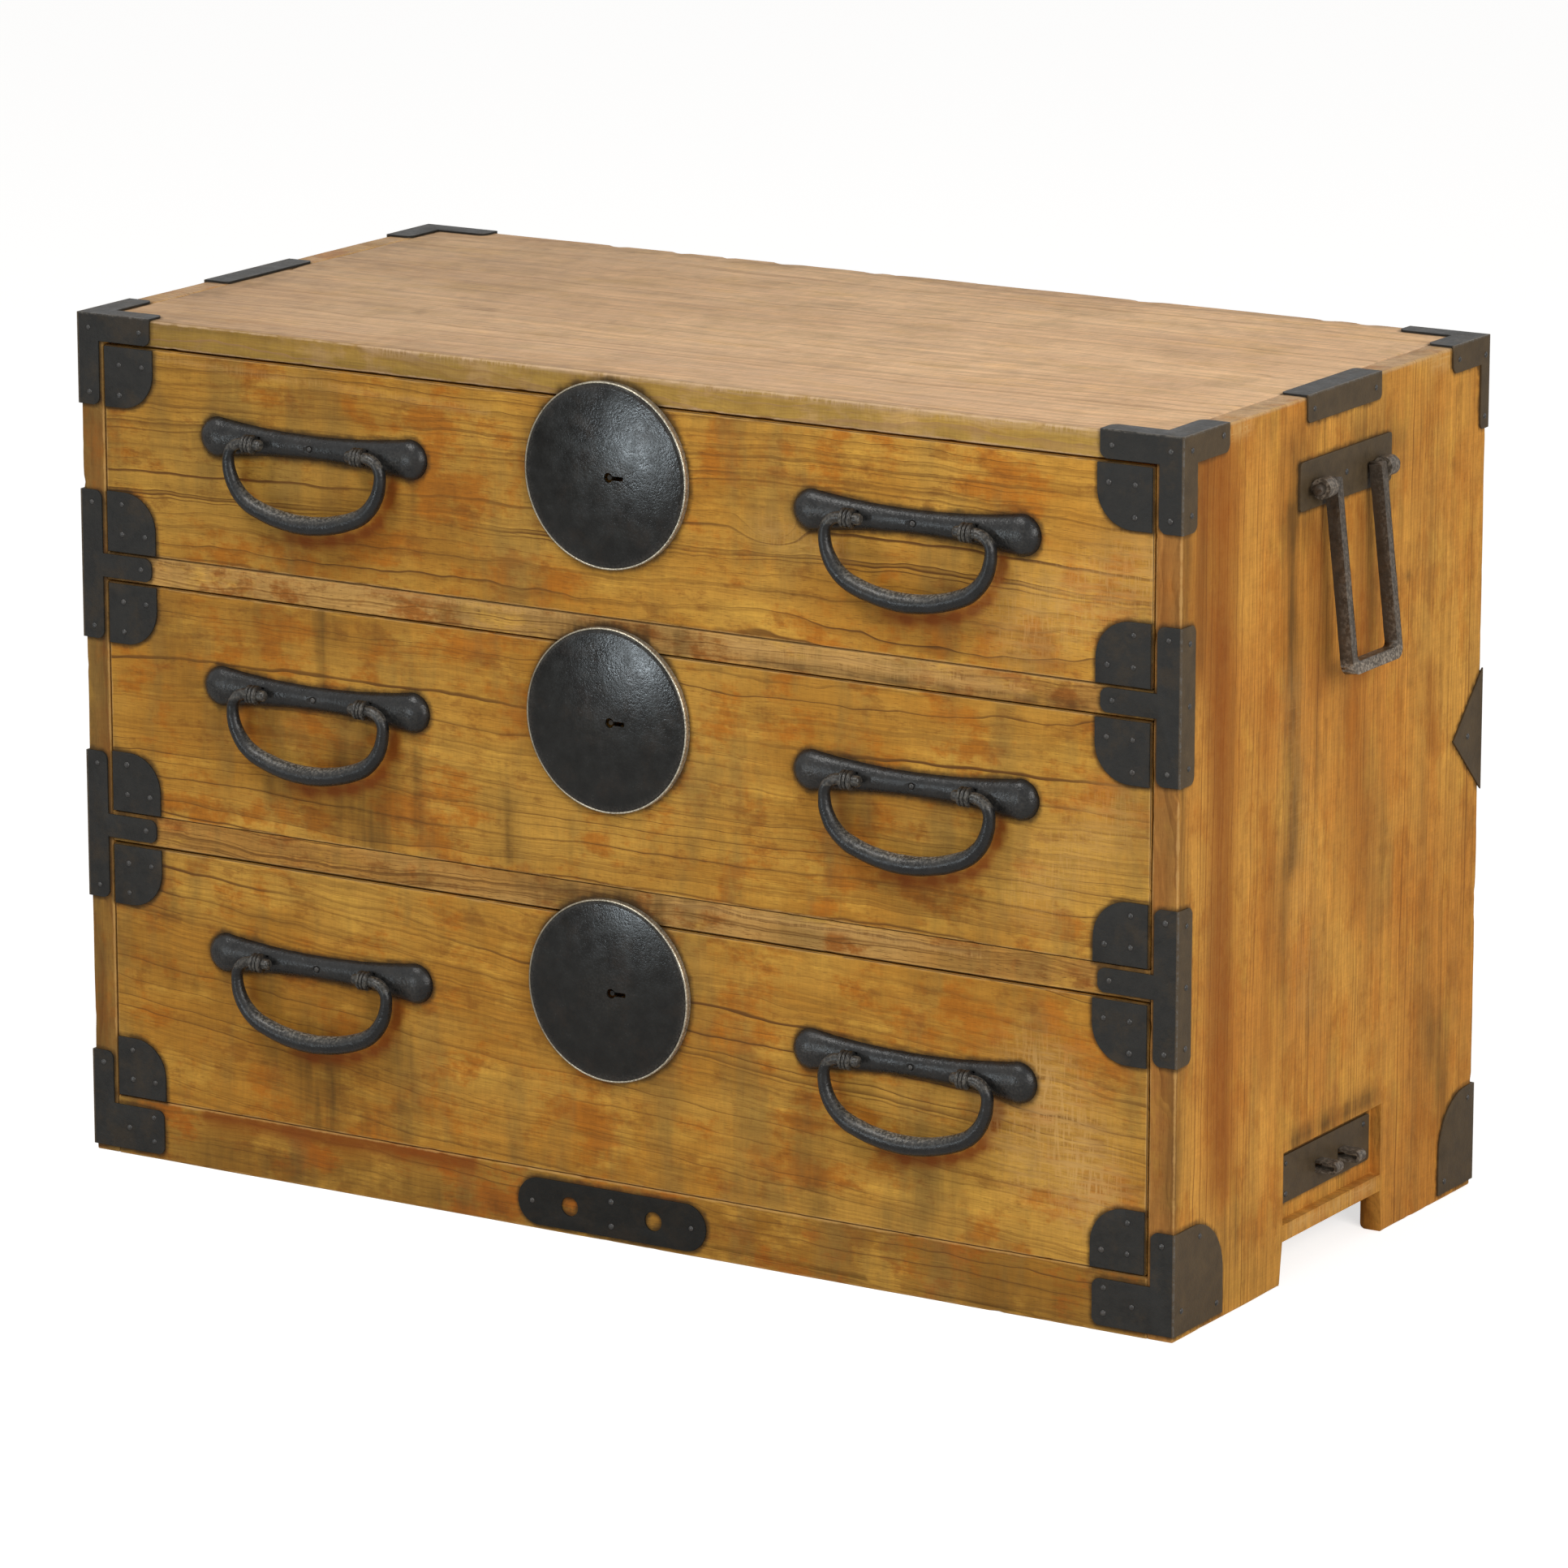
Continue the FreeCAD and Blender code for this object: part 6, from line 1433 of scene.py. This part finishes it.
def bail_steps():
    steps = Steps("forged_bail", {"Sides": 22, "Hammer Depth": 0.0004, "Hammer Size": 120.0,
                                  "Seed": 1.0})
    given = steps.given
    path = steps.add("GeometryNodeMeshToCurve", {"Mesh": given["Geometry"]})
    thick = steps.add("GeometryNodeInputNamedAttribute", {"Name": "thick"}, data_type="FLOAT")
    round_bar = steps.add("GeometryNodeCurvePrimitiveCircle",
                          {"Resolution": given["Sides"], "Radius": 1.0})
    bar = steps.add("GeometryNodeCurveToMesh", {"Curve": path, "Profile Curve": round_bar,
                                                "Scale": thick, "Fill Caps": True})
    place = steps.add("GeometryNodeInputPosition")
    hammer = steps.tree.nodes.new("ShaderNodeTexNoise")
    hammer.noise_dimensions = "4D"
    for name, value in (("Vector", place), ("W", given["Seed"]), ("Scale", given["Hammer Size"])):
        wire(steps.tree, value, hammer.inputs[name])
    forged = steps.add("GeometryNodeInputNamedAttribute", {"Name": "forged"}, data_type="FLOAT")
    depth = steps.sum("MULTIPLY", hammer.outputs[0],
                      steps.sum("MULTIPLY", given["Hammer Depth"], -2.0))
    depth = steps.sum("MULTIPLY", depth, forged)
    normal = steps.add("GeometryNodeInputNormal")
    push = steps.tree.nodes.new("ShaderNodeVectorMath")
    push.operation = "SCALE"
    wire(steps.tree, normal, push.inputs[0])
    wire(steps.tree, depth, push.inputs["Scale"])
    struck = steps.add("GeometryNodeSetPosition", {"Geometry": bar, "Offset": push.outputs[0]})
    steps.last = steps.add("GeometryNodeRealizeInstances", {"Geometry": struck})
    return steps


def forge_bail(drawer, side, seed):
    node = f"{drawer}_bail_{side}"
    low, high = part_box(node)
    joint = next(j for j in frame["joints"] if j["name"] == f"{drawer}_{side}_bail_swing")
    places, thick, forged = bail_points(low, high, joint["pos_m"][1], joint["pos_m"][2])
    data = bpy.data.meshes.new("path")
    data.from_pydata(places, [(k, k + 1) for k in range(len(places) - 1)], [])
    mark(data, "thick", thick)
    mark(data, "forged", forged)
    made = bail_steps().run(data, {"Seed": seed}, bail_iron)
    shape = bmesh.new()
    shape.from_mesh(made)
    piece = settle(closed_up(shape), node + "_forged", f"{drawer}_{side}_bail",
                   bail_iron, [node], smooth=60)
    points = points_of(piece.data)
    normals = np.empty(len(points) * 3, np.float32)
    piece.data.vertices.foreach_get("normal", normals)
    upward = np.clip(normals.reshape(-1, 3)[:, 2], 0, 1)
    towards = (points[:, 2] - low.z) / (high.z - low.z)
    mark(piece.data, "worn", upward ** 2 * np.clip(1.3 - towards * 1.6, 0, 1)
         + (towards > 0.86) * 0.30)
    print("bail:", node, len(piece.data.polygons), "faces")


for place, (drawer, side) in enumerate(bail_of):
    forge_bail(drawer, side, 1.0 + place * 2.3)

# %% [markdown]
# ## Back-plates and eyes
#
# Each bail hangs in two eyes that go through a long back-plate with a cupped end at either
# side. Those shapes are already curved in the CAD model, so a copy with joined triangles and
# smooth shading is enough. Their rims and high spots are a little barer than the rest.

# %% Plates and eyes
def smooth_copy(node, body, finish):
    piece = settle(merged(node), node + "_worn", body, finish, [node], smooth=38)
    mark(piece.data, "worn", np.zeros(len(piece.data.vertices)))
    return piece


def proud_wear(piece, low, high, amount):
    """Bares the parts of a piece that stand furthest out from the front."""
    points = points_of(piece.data)
    out = np.clip((high.y - points[:, 1]) / (high.y - low.y), 0, 1)
    piece.data.attributes["worn"].data.foreach_set("value", (out ** 4 * amount).astype(np.float32))


for drawer in DRAWERS:
    node = drawer + "_handle_plates"
    plates = smooth_copy(node, drawer, bail_iron)
    proud_wear(plates, *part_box(node), 0.10)
    node = drawer + "_handle_eyes"
    eyes = smooth_copy(node, drawer, bail_iron)
    low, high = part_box(node)
    proud_wear(eyes, low, Vector((0, wood_front, 0)), 0.35)
print("back-plates and eyes:", 2 * len(DRAWERS))

# %% [markdown]
# ## Carrying bails
#
# At each end a long narrow bail, forged from square bar, swings up to take a carrying pole.
# Its arms are worn pale on the outward corners and stay dark and brown inside. The square bar
# is cut into short lengths and its surface pressed in by small hammer marks.

# %% Carrying bails and side eyes
CARRY_EDGE = 0.0009
CARRY_CELL = 0.004
CARRY_PIN = 0.02
CARRY_DENT = 0.00045


def forge_carry_bail(side, sign, seed):
    node = "carry_bail_" + side
    low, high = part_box(node)
    shape = merged(node)
    join_flats(shape)
    bevel_edges(shape, CARRY_EDGE, 0.006)
    bmesh.ops.triangulate(shape, faces=shape.faces)
    slice_up(shape, 2, np.arange(low.z + CARRY_CELL, high.z, CARRY_CELL))
    slice_up(shape, 1, np.arange(low.y + CARRY_CELL, high.y, CARRY_CELL))
    shape.normal_update()
    for vertex in shape.verts:
        p = vertex.co
        if high.z - p.z > CARRY_PIN:
            dent = noise.noise(p * 130 + Vector((seed, 0, 0))) * 0.5 + 0.5
            vertex.co = p - vertex.normal * CARRY_DENT * dent
    piece = settle(shape, node + "_forged", side + "_carry_bail", carry_iron,
                   [node], smooth=50)
    points = points_of(piece.data)
    spread = (high.x - low.x) if sign > 0 else (low.x - high.x)
    base = low.x if sign > 0 else high.x
    lean = (points[:, 0] - base) / spread
    down = (high.z - points[:, 2]) / (high.z - low.z)
    outward = np.clip((lean - 0.30 - 0.45 * down) * 6, 0, 1)
    mark(piece.data, "worn", np.clip(outward * 0.30 + (down > 0.93) * 0.45, 0, 1))
    print("carrying bail:", side, len(piece.data.polygons), "faces")


for side, sign in (("left", -1), ("right", 1)):
    forge_carry_bail(side, sign, 5.0 + sign)
eyes = smooth_copy("side_eyes", "case", carry_iron)
eyes.data.attributes["worn"].data.foreach_set("value", [0.45] * len(eyes.data.vertices))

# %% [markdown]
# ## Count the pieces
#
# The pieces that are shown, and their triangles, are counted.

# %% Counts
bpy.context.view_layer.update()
shown = [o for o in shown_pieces() if o.type == "MESH"]
triangles = sum(len(face.vertices) - 2 for o in shown for face in o.data.polygons)
print("pieces:", len(shown), "triangles:", triangles)
